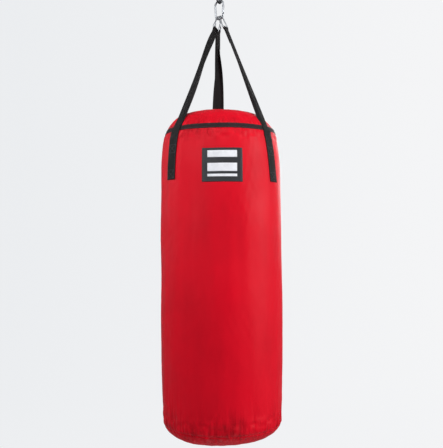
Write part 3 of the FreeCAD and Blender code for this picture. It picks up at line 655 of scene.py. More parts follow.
def webbing(name, colour, rib=2.0 * MM, bump=0.25 * MM):
    """Heavy woven tape: slanted ribs both ways from the middle, with paler worn threads."""
    finish = Finish(name, 0.7, uv=True, Specular_IOR_Level=0.14)
    ribs = finish.wave(rib, "X", turn=28.0)
    back = finish.wave(rib, "X", turn=-28.0)
    threads = finish.wave(rib * 0.5, "Y")
    weave = finish.weigh((finish.mix("MULTIPLY", ribs, back), 1.0), (threads, 0.4))
    worn = finish.noise(55.0, 5.0)
    finish.tint(finish.weigh((weave, 0.5), (worn, 0.5)), colour, (0.25, 0.6), (0.55, 1.0), (0.85, 1.7))
    finish.gloss(worn, 0.60, 0.82)
    finish.bump(weave, bump, 0.8)
    return finish.material


def label_cloth():
    """Dense satin patch, nearly black with a blue cast."""
    finish = Finish("label_cloth", 0.5, uv=True)
    fine = finish.mix("MULTIPLY", finish.wave(0.7 * MM, "X", turn=45.0), finish.wave(1.4 * MM, "Y"))
    cloudy = finish.noise(40.0, 4.0)
    tone = finish.weigh((fine, 0.4), (cloudy, 0.6))
    finish.paint(tone, (0.3, (0.006, 0.006, 0.010)), (0.7, (0.014, 0.014, 0.021)))
    finish.gloss(cloudy, 0.42, 0.62)
    finish.bump(fine, 0.1 * MM, 0.6)
    return finish.material


def printed_ink():
    """White ink on the patch, slightly uneven, with the cloth showing through."""
    finish = Finish("printed_ink", 0.55, uv=True)
    cloudy = finish.noise(90.0, 5.0)
    finish.paint(cloudy, (0.25, (0.70, 0.70, 0.74)), (0.6, (0.78, 0.78, 0.82)))
    finish.gloss(cloudy, 0.45, 0.65)
    finish.bump(finish.wave(0.7 * MM, "X", turn=45.0), 0.06 * MM, 0.5)
    return finish.material


def thread(name, colour):
    """Twisted sewing thread."""
    finish = Finish(name, 0.6)
    twist = finish.noise(900.0, 2.0)
    finish.tint(twist, colour, (0.3, 0.7), (0.7, 1.3))
    finish.gloss(twist, 0.5, 0.7)
    finish.bump(twist, 0.05 * MM, 0.5)
    return finish.material


def metal(name, colour, roughness, worn=1.25):
    """Metal with fine scuffs and slightly duller patches."""
    finish = Finish(name, roughness, 1.0)
    cloudy = finish.noise(60.0, 5.0)
    scuffs = finish.noise(220.0, 6.0, (1, 1, 0.2), 0.7)
    finish.tint(cloudy, colour, (0.3, 0.88), (0.7, worn))
    finish.gloss(scuffs, roughness * 0.7, roughness * 1.5)
    finish.bump(scuffs, 0.04 * MM, 0.4)
    return finish.material


def moulded(name, colour, roughness=0.45):
    """Moulded plastic with a faint eggshell surface."""
    finish = Finish(name, roughness)
    skin = finish.noise(400.0, 3.0)
    finish.tint(skin, colour, (0.3, 0.85), (0.7, 1.15))
    finish.gloss(skin, roughness * 0.8, roughness * 1.2)
    finish.bump(skin, 0.05 * MM, 0.4)
    return finish.material


def fibrous(name, colour, scale=120.0, bump=1.0 * MM):
    """Felt, coarse cloth or rags: fibres in every direction."""
    finish = Finish(name, 0.9, Sheen_Weight=0.4)
    fibres = finish.noise(scale, 8.0, rough=0.75)
    patches = finish.noise(scale / 8, 3.0)
    finish.tint(finish.weigh((fibres, 0.5), (patches, 0.5)), colour, (0.25, 0.6), (0.5, 1.0), (0.75, 1.5))
    finish.gloss(fibres, 0.82, 0.98)
    finish.bump(fibres, bump, 0.7)
    return finish.material


RED = coated_nylon("coated_nylon")
CROWN_RED = coated_nylon("crown_nylon", True)
WEBBING = webbing("black_webbing", (0.0125, 0.0115, 0.0120))
TAPE = webbing("black_tape", (0.026, 0.015, 0.017), 1.2 * MM, 0.15 * MM)
LABEL = label_cloth()
INK = printed_ink()
BLACK_THREAD = thread("black_thread", (0.035, 0.035, 0.038))
GREY_THREAD = thread("grey_thread", (0.075, 0.072, 0.075))
RED_THREAD = thread("red_thread", (0.40, 0.004, 0.014))
CHROME = metal("chromed_steel", (0.34, 0.35, 0.37), 0.34, worn=1.1)
DARK_STEEL = metal("dark_steel", (0.055, 0.056, 0.060), 0.36, worn=1.6)
BEARING_STEEL = metal("bearing_steel", (0.62, 0.62, 0.64), 0.14)
SPRING_STEEL = metal("spring_steel", (0.45, 0.46, 0.48), 0.25)
CAGE_NYLON = moulded("cage_nylon", (0.62, 0.58, 0.48))
FELT = fibrous("grey_felt", (0.19, 0.19, 0.20))
SACKING = fibrous("sack_cloth", (0.40, 0.36, 0.28), 200.0, 0.4 * MM)
RAGS = fibrous("rag_filling", (0.24, 0.22, 0.23), 30.0, 4 * MM)
ZIP_TAPE_CLOTH = webbing("zip_tape", (0.020, 0.020, 0.022), 0.8 * MM, 0.08 * MM)
ZIP_PLASTIC = moulded("zip_plastic", (0.022, 0.022, 0.024), 0.35)
ZIP_METAL = metal("zip_metal", (0.42, 0.42, 0.44), 0.28)

NODE_FINISH = {
    "swivel_top_eye": DARK_STEEL, "swivel_housing": DARK_STEEL, "swivel_spindle": DARK_STEEL,
    "swivel_nut": BEARING_STEEL, "swivel_lower_race": BEARING_STEEL, "swivel_upper_race": BEARING_STEEL,
    "swivel_balls": BEARING_STEEL, "swivel_ball_cage": CAGE_NYLON,
    "hook_body": CHROME, "hook_gate": CHROME, "hook_gate_pin": CHROME, "hook_gate_spring": SPRING_STEEL,
    "inner_sack": SACKING, "filling": RAGS,
    "zip_stops": ZIP_METAL, "zip_slider": ZIP_METAL, "zip_pull": ZIP_METAL,
}
BEVELS = {"swivel_top_eye": 0.6 * MM, "swivel_housing": 0.5 * MM, "swivel_spindle": 0.3 * MM,
          "swivel_nut": 0.4 * MM, "hook_body": 0.25 * MM, "hook_gate": 0.25 * MM,
          "zip_slider": 0.25 * MM, "zip_pull": 0.2 * MM}


def finish_nodes():
    """Better materials for the CAD nodes that stay, and softened edges on the hard ones."""
    for name, material in NODE_FINISH.items():
        node = NODES[name]
        if not node.material_slots:
            node.data.materials.append(material)
        for slot in node.material_slots:
            slot.material = material
    for name, width in BEVELS.items():
        node = NODES[name]
        weld = node.modifiers.new("weld", "WELD")
        weld.merge_threshold = 0.002 * MM
        bevel = node.modifiers.new("bevel", "BEVEL")
        bevel.width = width
        bevel.segments = 2
        bevel.limit_method = "ANGLE"
        bevel.angle_limit = radians(40)
        bevel.harden_normals = False


# ---- cover
def rows_between(start, end, fine_start, fine_end, fine, coarse):
    """Places along the outline, closer together near a seam."""
    parts = [np.arange(start, start + fine_start, fine),
             np.linspace(start + fine_start, end - fine_end,
                         round((end - start - fine_start - fine_end) / coarse), endpoint=False),
             np.linspace(end - fine_end, end, round(fine_end / fine) + 1)]
    return np.concatenate([part for part in parts if len(part)])


COLUMNS = 448
CROWN_ROWS = 84
CROWN_CALM = 22 * MM            # relief comes back over this length beside the zip
WALL_UV_R = 168 * MM            # radius for which the UVs of a round piece are true to size
SEAM_POINTS = 720
BASE_ROWS_OFF = 5.5 * MM        # stitch rows, from the base's seam
CROWN_STITCHES = (4 * MM, 3 * MM)       # pitch and length
BASE_STITCHES = (4.2 * MM, 3.2 * MM)
TAPE_STITCHES = (4 * MM, 2.9 * MM)
LABEL_STITCHES = (3.2 * MM, 2.3 * MM)
STRAP_STITCHES = (3.4 * MM, 2.5 * MM)
TACK_STITCHES = (2.4 * MM, 2.0 * MM)


def panel(name, lengths, node, pole=False):
    """A panel of the cover that goes all round the bag."""
    azimuth, s = np.meshgrid(all_round(COLUMNS), lengths)
    point, normal = on_bag(azimuth, s)
    middle = point + normal * (relief(azimuth, s) - COVER / 2)[..., None]
    uvs = round_uvs(azimuth[0], lengths, WALL_UV_R)
    mesh = slab(name, middle, normal, COVER, uvs, wrap=True, pole=pole)
    place(name, mesh, "red_nylon", RED, [node])


def make_cover():
    wall_rows = rows_between(TOP_SEAM, BASE_SEAM, 50 * MM, 75 * MM, 1.1 * MM, 5.2 * MM)
    panel("cover_wall", wall_rows, "cover_side")
    base_rows = rows_between(BASE_SEAM, POLE - 4 * MM, 50 * MM, 0.0, 1.2 * MM, 4.5 * MM)
    panel("cover_base", base_rows, "cover_bottom", pole=True)
    make_crown()


def around_zip():
    """The opening for the zip in plan, walked round once with a point for each column."""
    signs = np.array([(1, 0), (1, 1), (-1, 1), (-1, -1), (1, -1), (1, 0)])
    corners = signs * (ZIP_HALF_LENGTH, ZIP_SLOT_HALF)
    marks = (0, 0.018, 0.482, 0.518, 0.982, 1.0)
    around = np.arange(COLUMNS) / COLUMNS
    return np.stack([np.interp(around, marks, corners[:, axis]) for axis in (0, 1)], -1)


def on_crown(plan):
    """Azimuth and s of places seen from above."""
    lengths = np.linspace(0, TOP_SEAM, 4001)
    s = np.interp(np.linalg.norm(plan, axis=-1), outline(lengths)[0], lengths)
    return np.arctan2(plan[..., 0], -plan[..., 1]), s


def make_crown():
    """The crown panel, a lofted sheet from the zip's opening out to the band."""
    slot = around_zip()
    turn = all_round(COLUMNS)
    rim = outline(TOP_SEAM)[0] * np.stack([np.cos(turn), np.sin(turn)], -1)
    shares = (1 - (1 - np.linspace(0, 1, CROWN_ROWS)) ** 1.25)[:, None, None]
    plan = slot[None] * (1 - shares) + rim[None] * shares
    azimuth, s = on_crown(plan)
    s[-1] = TOP_SEAM
    point, normal = on_bag(azimuth, s)
    beyond = np.maximum(np.abs(plan) - (ZIP_HALF_LENGTH, ZIP_SLOT_HALF), 0)
    clear = np.hypot(beyond[..., 0], beyond[..., 1])
    height = relief(azimuth, s) * smooth_step((clear - 2 * MM) / CROWN_CALM)
    turned_edge = 0.35 * MM * np.exp(-(clear / (2.5 * MM)) ** 2)
    middle = point + normal * (height + turned_edge - COVER / 2)[..., None]
    uvs = np.stack([s * np.sin(azimuth), s * np.cos(azimuth)], -1)
    uvs = np.concatenate([uvs, uvs[:, :1]], 1)
    mesh = slab("cover_crown", middle, normal, COVER, uvs, wrap=True)
    place("cover_crown", mesh, "red_nylon", CROWN_RED, ["cover_top"])
    stitches = []
    for away in (3 * MM, 6 * MM):
        grown = slot + np.sign(slot) * away * (np.abs(slot) > 1e-6)
        edge, edge_normal = on_bag(*on_crown(grown), 0.1 * MM)
        stitches += stitch_line(edge, edge_normal, *CROWN_STITCHES, closed=True)
    sew("crown_stitches", stitches, "red_nylon", RED_THREAD, 0.28 * MM)


FELT_COLUMNS, FELT_ROWS = 224, 90
FELT_UV_R = 160 * MM
ZIP_ROOM_DEPTH = 7.5 * MM
ZIP_ROOM_ASIDE = 15 * MM
FELT_GAP = 0.4 * MM


def make_felt():
    """The felt lining in three pieces, pressed in where the cover is, with room for the zip."""
    top_end, wall_end = length_at(PAD_TOP_SLOPE), length_at(PAD_BASE_SLOPE)
    inner = -COVER - PADDING + 0.2 * MM
    for name, node, start, stop in (("felt_top", "padding_top", top_end, 3 * MM),
                                    ("felt_wall", "padding_wall", top_end, wall_end),
                                    ("felt_base", "padding_bottom", wall_end, POLE - 3 * MM)):
        azimuth, s = np.meshgrid(all_round(FELT_COLUMNS), np.linspace(start, stop, FELT_ROWS))
        point, normal = on_bag(azimuth, s)
        along, aside = np.abs(point[..., 0]), np.abs(point[..., 1])
        room = smooth_step((ZIP_ROOM - along) / (8 * MM)) * smooth_step((ZIP_ROOM_ASIDE - aside) / (3 * MM))
        room = room * (s < top_end) * ZIP_ROOM_DEPTH
        outer = np.minimum(relief(azimuth, s), 0.0) - COVER - FELT_GAP - room
        middle = point + normal * ((outer + inner) / 2)[..., None]
        uvs = round_uvs(azimuth[0], s[:, 0], FELT_UV_R)
        mesh = slab(name, middle, normal, outer - inner, uvs, wrap=True, pole=name != "felt_wall")
        place(name, mesh, "grey_felt", FELT, [node])


def make_base_seam():
    """Top stitching above and below the seam of the base panel."""
    azimuth = all_round(SEAM_POINTS)
    stitches = []
    for away in (-BASE_ROWS_OFF, BASE_ROWS_OFF):
        s = np.full_like(azimuth, BASE_SEAM + away)
        point, normal = on_bag(azimuth, s)
        point = point + normal * (relief(azimuth, s) + 0.08 * MM)[:, None]
        stitches += stitch_line(point, normal, *BASE_STITCHES, closed=True)
    sew("base_stitches", stitches, "red_nylon", RED_THREAD)


BAND_COLUMNS, BAND_ROWS = 720, 13
BAND_UV_R = 152 * MM


def make_band():
    """The black tape over the top seam, slightly puckered, with a stitch row near each edge."""
    ripple = make_waves(31, 12, (30, 90), (0.05, 0.2), 0.10 * MM)
    drift = make_waves(32, 6, (2, 9), (0.3, 0.9), 0.35 * MM)
    azimuth, share = np.meshgrid(all_round(BAND_COLUMNS), np.linspace(-1, 1, BAND_ROWS))
    s = TOP_SEAM + share * BAND_WIDTH / 2 + wave_height(drift, azimuth, 0.0)
    lift = wave_height(ripple, azimuth, 0.0) * np.abs(share)
    sewn = -0.12 * MM * np.exp(-((np.abs(share) - 0.72) / 0.1) ** 2)
    point, normal = on_bag(azimuth, s)
    thick = BAND_THICK * np.where(np.abs(share) > 0.95, 0.55, 1.0)
    middle = point + normal * (BAND_THICK / 2 + 0.12 * MM + lift + sewn)[..., None]
    uvs = round_uvs(azimuth[0], share[:, 0] * BAND_WIDTH / 2, BAND_UV_R)
    mesh = slab("shoulder_tape", middle, normal, thick, uvs, wrap=True)
    place("shoulder_tape", mesh, "black_tape", TAPE, ["top_band"])
    stitches = []
    for row in (2, BAND_ROWS - 3):
        line = middle[row] + normal[row] * (BAND_THICK / 2 + 0.05 * MM)
        stitches += stitch_line(line, normal[row], *TAPE_STITCHES, closed=True)
    sew("tape_stitches", stitches, "black_tape", GREY_THREAD)


# ---- label
def patch_points(width, low, high, rows, columns, offset):
    """A grid on the bag's front, on top of its relief."""
    top, base = length_at_height(high), length_at_height(low)
    radius = outline((top + base) / 2)[0]
    centre = radians(LABEL_AZIMUTH)
    azimuth, s = np.meshgrid(centre + np.linspace(-0.5, 0.5, columns) * width / radius,
                             np.linspace(top, base, rows))
    point, normal = on_bag(azimuth, s)
    uvs = np.stack([azimuth * radius, s], -1)
    return point + normal * (relief(azimuth, s) + offset)[..., None], normal, uvs


LABEL_HALF_WIDTH = LABEL_WIDTH / 2
LABEL_HALF_HEIGHT = (LABEL_Z[1] - LABEL_Z[0]) / 2
SIDE_HEM = 10 * MM
END_HEM = 4 * MM
HEM_STEP = 1.2 * MM
ONE_LAYER = 0.62                # thickness of the patch inside its hems, as a share
LABEL_INSET = 2.6 * MM          # of the stitches
LABEL_ROUNDING = 1.6 * MM       # of its edges
PRINT_THICK = 0.14 * MM


def make_label():
    rows, columns = 61, 73
    point, normal, uvs = patch_points(LABEL_WIDTH, *LABEL_Z, rows, columns, 0.0)
    across = np.abs(np.linspace(-1, 1, columns))[None] * LABEL_HALF_WIDTH
    down = np.abs(np.linspace(-1, 1, rows))[:, None] * LABEL_HALF_HEIGHT
    hem = np.maximum(smooth_step((across - LABEL_HALF_WIDTH + SIDE_HEM) / HEM_STEP),
                     smooth_step((down - LABEL_HALF_HEIGHT + END_HEM) / HEM_STEP))
    from_edge = np.minimum(LABEL_HALF_WIDTH - across, LABEL_HALF_HEIGHT - down)
    rounding = np.sqrt(np.clip(from_edge / LABEL_ROUNDING, 0.12, 1.0))
    thick = LABEL_THICK * (ONE_LAYER + (1 - ONE_LAYER) * hem) * rounding
    sewn = -0.18 * MM * np.exp(-((from_edge - LABEL_INSET) / (0.8 * MM)) ** 2)
    middle = point + normal * (thick / 2 + 0.1 * MM + sewn)[..., None]
    mesh = slab("label_patch_cloth", middle, normal, thick, uvs)
    place("label_patch_cloth", mesh, "label_fabric", LABEL, ["label_patch"])
    sew("label_stitches", label_stitches(), "label_fabric", BLACK_THREAD, 0.25 * MM)
    for number, (width, low, high) in enumerate(PRINT_BARS):
        point, normal, uvs = patch_points(width, low, high, 14, 50, LABEL_THICK * ONE_LAYER + 0.12 * MM)
        name = "label_bar_" + str(number + 1)
        place(name, slab(name, point, normal, PRINT_THICK, uvs), "label_print", INK, ["label_print"])


def label_stitches():
    """A row of stitches near each side and each end of the label."""
    stitches = []
    for sign in (-1, 1):
        side, side_normal, _ = patch_points(0.0, *LABEL_Z, 60, 1, LABEL_THICK)
        turn = (LABEL_HALF_WIDTH - LABEL_INSET) * sign / np.linalg.norm(side[:, 0, :2], axis=1)
        cosine, sine = np.cos(turn), np.sin(turn)
        for grid in (side, side_normal):
            x, y = grid[:, 0, 0].copy(), grid[:, 0, 1].copy()
            grid[:, 0, 0], grid[:, 0, 1] = x * cosine - y * sine, x * sine + y * cosine
        stitches += stitch_line(side[2:-2, 0], side_normal[2:-2, 0], *LABEL_STITCHES)
    for height in (LABEL_Z[0] + LABEL_INSET, LABEL_Z[1] - LABEL_INSET):
        line, line_normal, _ = patch_points(
            LABEL_WIDTH - 2 * LABEL_INSET, height - 0.1 * MM, height, 2, 60, LABEL_THICK)
        stitches += stitch_line(line[0], line_normal[0], *LABEL_STITCHES)
    return stitches


# ---- straps and rings
FOLD_THICK = 1.1 * MM           # one layer of webbing where it is folded at the ring
SEWN_THICK = 2.0 * MM
CREASE = 2.0 * MM               # webbing in each crease
SECTION_COLUMNS = 29
STRAP_SHARES = np.linspace(-0.5, 0.5, SECTION_COLUMNS)
SEWN_ROWS, SHOULDER_ROWS = 76, 16
TWISTED_ROWS = 70
FOLDED_HALF = 1.65 * MM         # from the middle of a folded strap to each folded half's middle
LOOP_LENGTH = 9 * MM            # where the strap opens up round the ring
RETURN_LENGTH = 45 * MM         # from there, the end that comes back down
STRAP_LIFT = 0.9 * MM           # inner face of the free strap above the cover, as in the CAD
STRAP_THICK = 2.2 * MM          # as in the CAD
SHOULDER_R = 155 * MM           # hollow of the strap where it leaves the round shoulder
FLAT_BY, FOLDED_BY = 0.25, 0.93     # where that hollow is gone and the fold closed, as shares
SWAY = 1.2 * MM                 # sideways waves of the free strap
DRAPE_EDGE = 0.15 * MM          # waves of the sewn strap's edges
SEWN_GAP = 0.3 * MM
OVER_TAPE = 0.7 * MM            # how much higher the strap runs over the tape
LONG_TURNS = {"left"}
TURN_POWERS = {"left": 5.0, "right": 1.0, "back": 1.0}
FOLD_POWERS = {"left": 0.8, "right": 0.5, "back": 2.6}    # low: folded soon above the shoulder
RING_HOLE_R = 1.8 * MM
STITCHED_TO = -0.478            # height of the top end of the edge rows
STITCH_SHARE = 0.42             # where the edge rows run, as a share of the width
BOX_STARTS = (4 * MM, 74 * MM)  # crossed boxes, up from the sewn end
BOX_HEIGHT = 22 * MM
TACKS = (11 * MM, 13 * MM, 38 * MM, 40 * MM)        # bars of stitches, down from the ring's bar
TACK_HALF = 7 * MM


class Hanger:
    """The lines that one strap and its ring follow."""

    def __init__(self, side):
        joint = JOINTS["ring_" + side + "_turn"]
        self.azimuth, self.end_azimuth = (radians(angle) for angle in STRAPS[side])
        self.turn_power, self.fold_power = TURN_POWERS[side], FOLD_POWERS[side]
        self.end_s = STRAP_BASES[side]
        self.bar = np.array(joint["pos_m"])
        self.bar_way = np.array(joint["axis"]) / np.linalg.norm(joint["axis"])
        outward = np.array([sin(self.azimuth), -cos(self.azimuth), 0.0])
        radius, _, _, centre_r, centre_z = ARCS[1]
        reach = radius + STRAP_LIFT + STRAP_THICK / 2
        aside, above = self.bar @ outward - centre_r, self.bar[2] - centre_z
        slope = atan2(aside, above) + acos(reach / hypot(aside, above))
        self.touch_s = length_at(degrees(slope))
        self.touch = outward * (centre_r + reach * sin(slope))
        self.touch[2] = centre_z + reach * cos(slope)
        self.out = outward * sin(slope)
        self.out[2] = cos(slope)
        self.wide = np.array([cos(self.azimuth), sin(self.azimuth), 0.0])
        self.up = self.bar - self.touch
        self.span = np.linalg.norm(self.up)
        self.up /= self.span
        bar_way = self.bar_way - self.up * (self.bar_way @ self.up)
        short = 1 if bar_way @ self.wide > 0 else -1
        self.bar_way = bar_way / np.linalg.norm(bar_way) * (-short if side in LONG_TURNS else short)
        self.twist = atan2(np.cross(self.wide, self.bar_way) @ self.up, self.wide @ self.bar_way)

    def ways(self, angle):
        """The strap's width and outward directions after a turn about its length."""
        return turned(self.wide, self.up, angle), turned(self.out, self.up, angle)


def turned(vector, axis, angle):
    return (vector * cos(angle) + np.cross(axis, vector) * sin(angle)
            + axis * (axis @ vector) * (1 - cos(angle)))


def folded_section(fold):
    """Middle line of a strap section whose sides fold in by an angle: across, out, and normals."""
    half_flat = (STRAP_WIDTH / 2 - CREASE + 0.2 * MM) / 2
    across, out, normal = [], [], []
    for run in np.linspace(0, STRAP_WIDTH / 2, SECTION_COLUMNS // 2 + 1):
        bent = min(max((run - half_flat) / CREASE, 0.0), 1.0) * fold
        if fold < 1e-4 or run <= half_flat:
            across.append(run)
            out.append(0.0)
        else:
            radius = CREASE / fold
            along = max(run - half_flat - CREASE, 0.0)
            across.append(half_flat + radius * sin(bent) + along * cos(bent))
            out.append(-radius * (1 - cos(bent)) - along * sin(bent))
        normal.append((sin(bent), cos(bent)))
    across, out, normal = np.array(across), np.array(out), np.array(normal)
    across = np.concatenate([-across[:0:-1], across])
    out = np.concatenate([out[:0:-1], out])
    mirrored = normal[:0:-1] * np.array([-1, 1])
    return across, out, np.concatenate([mirrored, normal])


def section_at(centre, wide, away, section):
    """Points and normals of a section of strap."""
    side, rise, slant = section
    return centre + side[:, None] * wide + rise[:, None] * away, slant[:, :1] * wide + slant[:, 1:] * away


def sewn_rows(hanger):
    """The part that is sewn on, from its lower end to where the strap leaves the shoulder."""
    past_tape = TOP_SEAM + 20 * MM
    below = np.linspace(hanger.end_s, past_tape, SEWN_ROWS - SHOULDER_ROWS, endpoint=False)
    for s in np.concatenate([below, np.linspace(past_tape, hanger.touch_s, SHOULDER_ROWS)]):
        share = (hanger.end_s - s) / (hanger.end_s - hanger.touch_s)
        azimuth = hanger.end_azimuth + (hanger.azimuth - hanger.end_azimuth) * share
        over = smooth_step((BAND_WIDTH / 2 + 5 * MM - (s - TOP_SEAM)) / (5 * MM))
        across = azimuth + STRAP_SHARES * STRAP_WIDTH / outline(s)[0]
        same_s = np.full_like(across, s)
        point, normal = on_bag(across, same_s)
        lift = relief(across, same_s) * (1 - over) + OVER_TAPE * over
        drape = DRAPE_EDGE * np.cos(70 * s + 3 * STRAP_SHARES) * np.abs(STRAP_SHARES) * 2
        yield point + normal * (lift + SEWN_GAP + SEWN_THICK / 2 + drape)[:, None], normal, SEWN_THICK


def twisted_rows(hanger):
    """The free part, whose sides fold in while it turns on its way to the ring."""
    for share in np.arange(1, TWISTED_ROWS + 1) / TWISTED_ROWS:
        wide, out = hanger.ways(hanger.twist * share ** hanger.turn_power)
        side, rise, slant = folded_section(pi * min(share / FOLDED_BY, 1.0) ** hanger.fold_power)
        rise = rise - side * side / (2 * SHOULDER_R) * (1 - smooth_step(share / FLAT_BY))
        offset = (SEWN_THICK - STRAP_THICK) / 2 * (1 - share) + FOLDED_HALF * share
        sway = SWAY * sin(pi * share) * sin(5 * share + hanger.azimuth)
        distance = share * (hanger.span - LOOP_LENGTH)
        centre = hanger.touch + hanger.up * distance + out * offset + wide * sway
        thick = SEWN_THICK + (FOLD_THICK - SEWN_THICK) * share
        yield *section_at(centre, wide, out, (side, rise, slant)), thick


def looped_rows(hanger):
    """Round the ring's bar and back down behind the strap. Places are (below the bar, aside)."""
    wide, out = hanger.ways(hanger.twist)
    section = folded_section(pi)
    loop_r = RING_HOLE_R + 1.5 * FOLD_THICK
    neck = [(7.0 * MM, 2.0 * MM), (4.5 * MM, 2.8 * MM), (2.0 * MM, loop_r)]
    bend = [(-loop_r * sin(turn), loop_r * cos(turn)) for turn in np.linspace(0, pi, 15)]
    back = [(below, -aside) for below, aside in reversed(neck)]
    tail = [(LOOP_LENGTH + RETURN_LENGTH * step / 9, -FOLDED_HALF) for step in range(10)]
    route = np.array(neck + bend + back + tail)
    ahead = np.gradient(route, axis=0)
    ahead /= np.linalg.norm(ahead, axis=1, keepdims=True)
    for (below, aside), (run_below, run_aside) in zip(route, ahead):
        centre = hanger.bar - hanger.up * below + out * aside
        yield *section_at(centre, wide, hanger.up * run_aside - out * run_below, section), FOLD_THICK


def make_straps():
    for side in STRAPS:
        hanger = Hanger(side)
        rows = [*sewn_rows(hanger), *twisted_rows(hanger), *looped_rows(hanger)]
        points, normals, thicks = (np.array(values) for values in zip(*rows))
        run = run_along(points[:, SECTION_COLUMNS // 2])
        uvs = np.stack(np.meshgrid(STRAP_SHARES * STRAP_WIDTH, run), -1)
        edge = np.where(np.abs(STRAP_SHARES) > 0.49, 0.5, 1.0)
        name = "webbing_" + side
        mesh = slab(name, points, normals, thicks[:, None] * edge[None], uvs)
        place(name, mesh, "black_webbing", WEBBING, ["strap_" + side])
        make_strap_stitches(side, points[:SEWN_ROWS], normals[:SEWN_ROWS])
        make_tacks(hanger, side)


def make_strap_stitches(side, points, normals):
    """Edge rows and crossed boxes on the sewn part."""
    surface = points + normals * (SEWN_THICK / 2 + 0.05 * MM)

    def row_of(above_end):
        return float(np.interp(STRAP_ENDS[side] + above_end, points[:, SECTION_COLUMNS // 2, 2],
                               np.arange(SEWN_ROWS)))

    def line(start, end, steps=40):
        """Stitches from one (row, share of the width) to another."""
        rows, shares = np.linspace(start, end, steps + 1).T
        row = np.round(rows).astype(int)
        column = (shares + 0.5) * (SECTION_COLUMNS - 1)
        first = column.astype(int)
        part = (column - first)[:, None]
        found = [grid[row, first] * (1 - part) + grid[row, first + 1] * part for grid in (surface, normals)]
        return stitch_line(*found, *STRAP_STITCHES)

    stitches = []
    left, right = -STITCH_SHARE, STITCH_SHARE
    low, high = row_of(BOX_STARTS[0]), row_of(STITCHED_TO - STRAP_ENDS[side])
    for share in (left, right):
        stitches += line((low, share), (high, share), 90)
    for box in BOX_STARTS:
        low, high = row_of(box), row_of(box + BOX_HEIGHT)
        stitches += line((low, left), (low, right)) + line((high, left), (high, right))
        stitches += line((low, left), (high, right)) + line((low, right), (high, left))
    sew("stitches_" + side, stitches, "black_webbing", GREY_THREAD)


def make_tacks(hanger, side):
    """Bars of stitches that hold the folded strap together below the ring."""
    wide, out = hanger.ways(hanger.twist)
    tacks = []
    for face in (1, -1):
        for below in TACKS:
            centre = hanger.bar - hanger.up * below + out * face * (FOLDED_HALF + FOLD_THICK / 2 + 0.05 * MM)
            bar = np.linspace(centre - wide * TACK_HALF, centre + wide * TACK_HALF, 9)
            tacks += stitch_line(bar, np.tile(out * face, (9, 1)), *TACK_STITCHES)
    sew("tacks_" + side, tacks, "black_webbing", GREY_THREAD)


def ring_path(hanger):
    """The middle line of a pear-shaped ring, base bar first."""
    corner = RING_BASE_HALF - RING_CORNER_ARC
    circles = [(x, RING_CORNER_ARC, RING_CORNER_ARC) for x in (-corner, corner)]
    circles.append((0.0, RING_HEIGHT - RING_APEX_ARC, RING_APEX_ARC))
    joins = []
    for number, (x, z, radius) in enumerate(circles):
        next_x, next_z, next_radius = circles[(number + 1) % 3]
        heading = atan2(next_z - z, next_x - x)
        joins.append(heading - acos((radius - next_radius) / hypot(next_x - x, next_z - z)))
    path = []
    for number, (x, z, radius) in enumerate(circles):
        turn = (joins[number] - joins[number - 1]) % (2 * pi)
        for step in range(25):
            angle = joins[number - 1] + turn * step / 24
            path.append((x + radius * cos(angle), z + radius * sin(angle)))
    path = np.array(path + path[:1])
    run = run_along(path)
    places = np.linspace(0, run[-1], 180, endpoint=False)
    flat = np.stack([np.interp(places, run, path[:, axis]) for axis in (0, 1)], -1)
    return hanger.bar + flat[:, :1] * hanger.bar_way + flat[:, 1:] * hanger.up


def make_rings():
    for side in STRAPS:
        name = "wire_" + side
        mesh = tube(name, ring_path(Hanger(side)), RING_ROD_R)
        place(name, mesh, "chromed_steel", CHROME, ["ring_" + side], body="ring_" + side)


# ---- zip
def on_zip(angle, aside, rise):
    """A point by its angle along the zip, distance to the side and height over the crown."""
    reach = ARCS[0][0] + rise
    turn = np.radians(angle)
    return np.stack([reach * np.sin(turn), aside + 0 * turn, ARCS[0][4] + reach * np.cos(turn)], -1)


TOOTH_OUTLINE = np.array([(3.0, -0.55), (1.7, -0.55), (1.2, -0.75), (0.7, -0.45), (0.62, 0.0),
                          (0.7, 0.45), (1.2, 0.75), (1.7, 0.55), (3.0, 0.55)]) * MM
TOOTH_MIDDLE = 1.8 * MM
TOOTH_PITCH = 2.5 * MM
TOOTH_LEVELS = ((-1.9 * MM, 0.8), (-1.6 * MM, 1.0), (-1.3 * MM, 1.0), (-0.6 * MM, 1.0), (-0.35 * MM, 0.8))


def make_zip_tapes():
    """Woven tapes under the crown, with a bead along the edge that holds the teeth."""
    angles = np.linspace(-ZIP_HALF_ANGLE + 0.05, ZIP_HALF_ANGLE - 0.05, 160)
    for side, sign in (("front", -1), ("back", 1)):
        angle, away = np.meshgrid(angles, sign * np.linspace(*ZIP_TAPE, 13))
        middle = on_zip(angle, away, -COVER - ZIP_TAPE_THICK / 2 - 0.05 * MM)
        normal = on_zip(angle, away, 1.0) - on_zip(angle, away, 0.0)
        uvs = np.stack([np.radians(angle) * ARCS[0][0], away], -1)
        bead = np.where(np.abs(away) < ZIP_TAPE[0] + 0.9 * MM, 1.0, 0.8)
        name = "zip_tape_" + side
        mesh = slab(name, middle, normal, ZIP_TAPE_THICK * 0.85 * bead, uvs)
        place(name, mesh, "zip_tape", ZIP_TAPE_CLOTH, ["zip_tapes"])


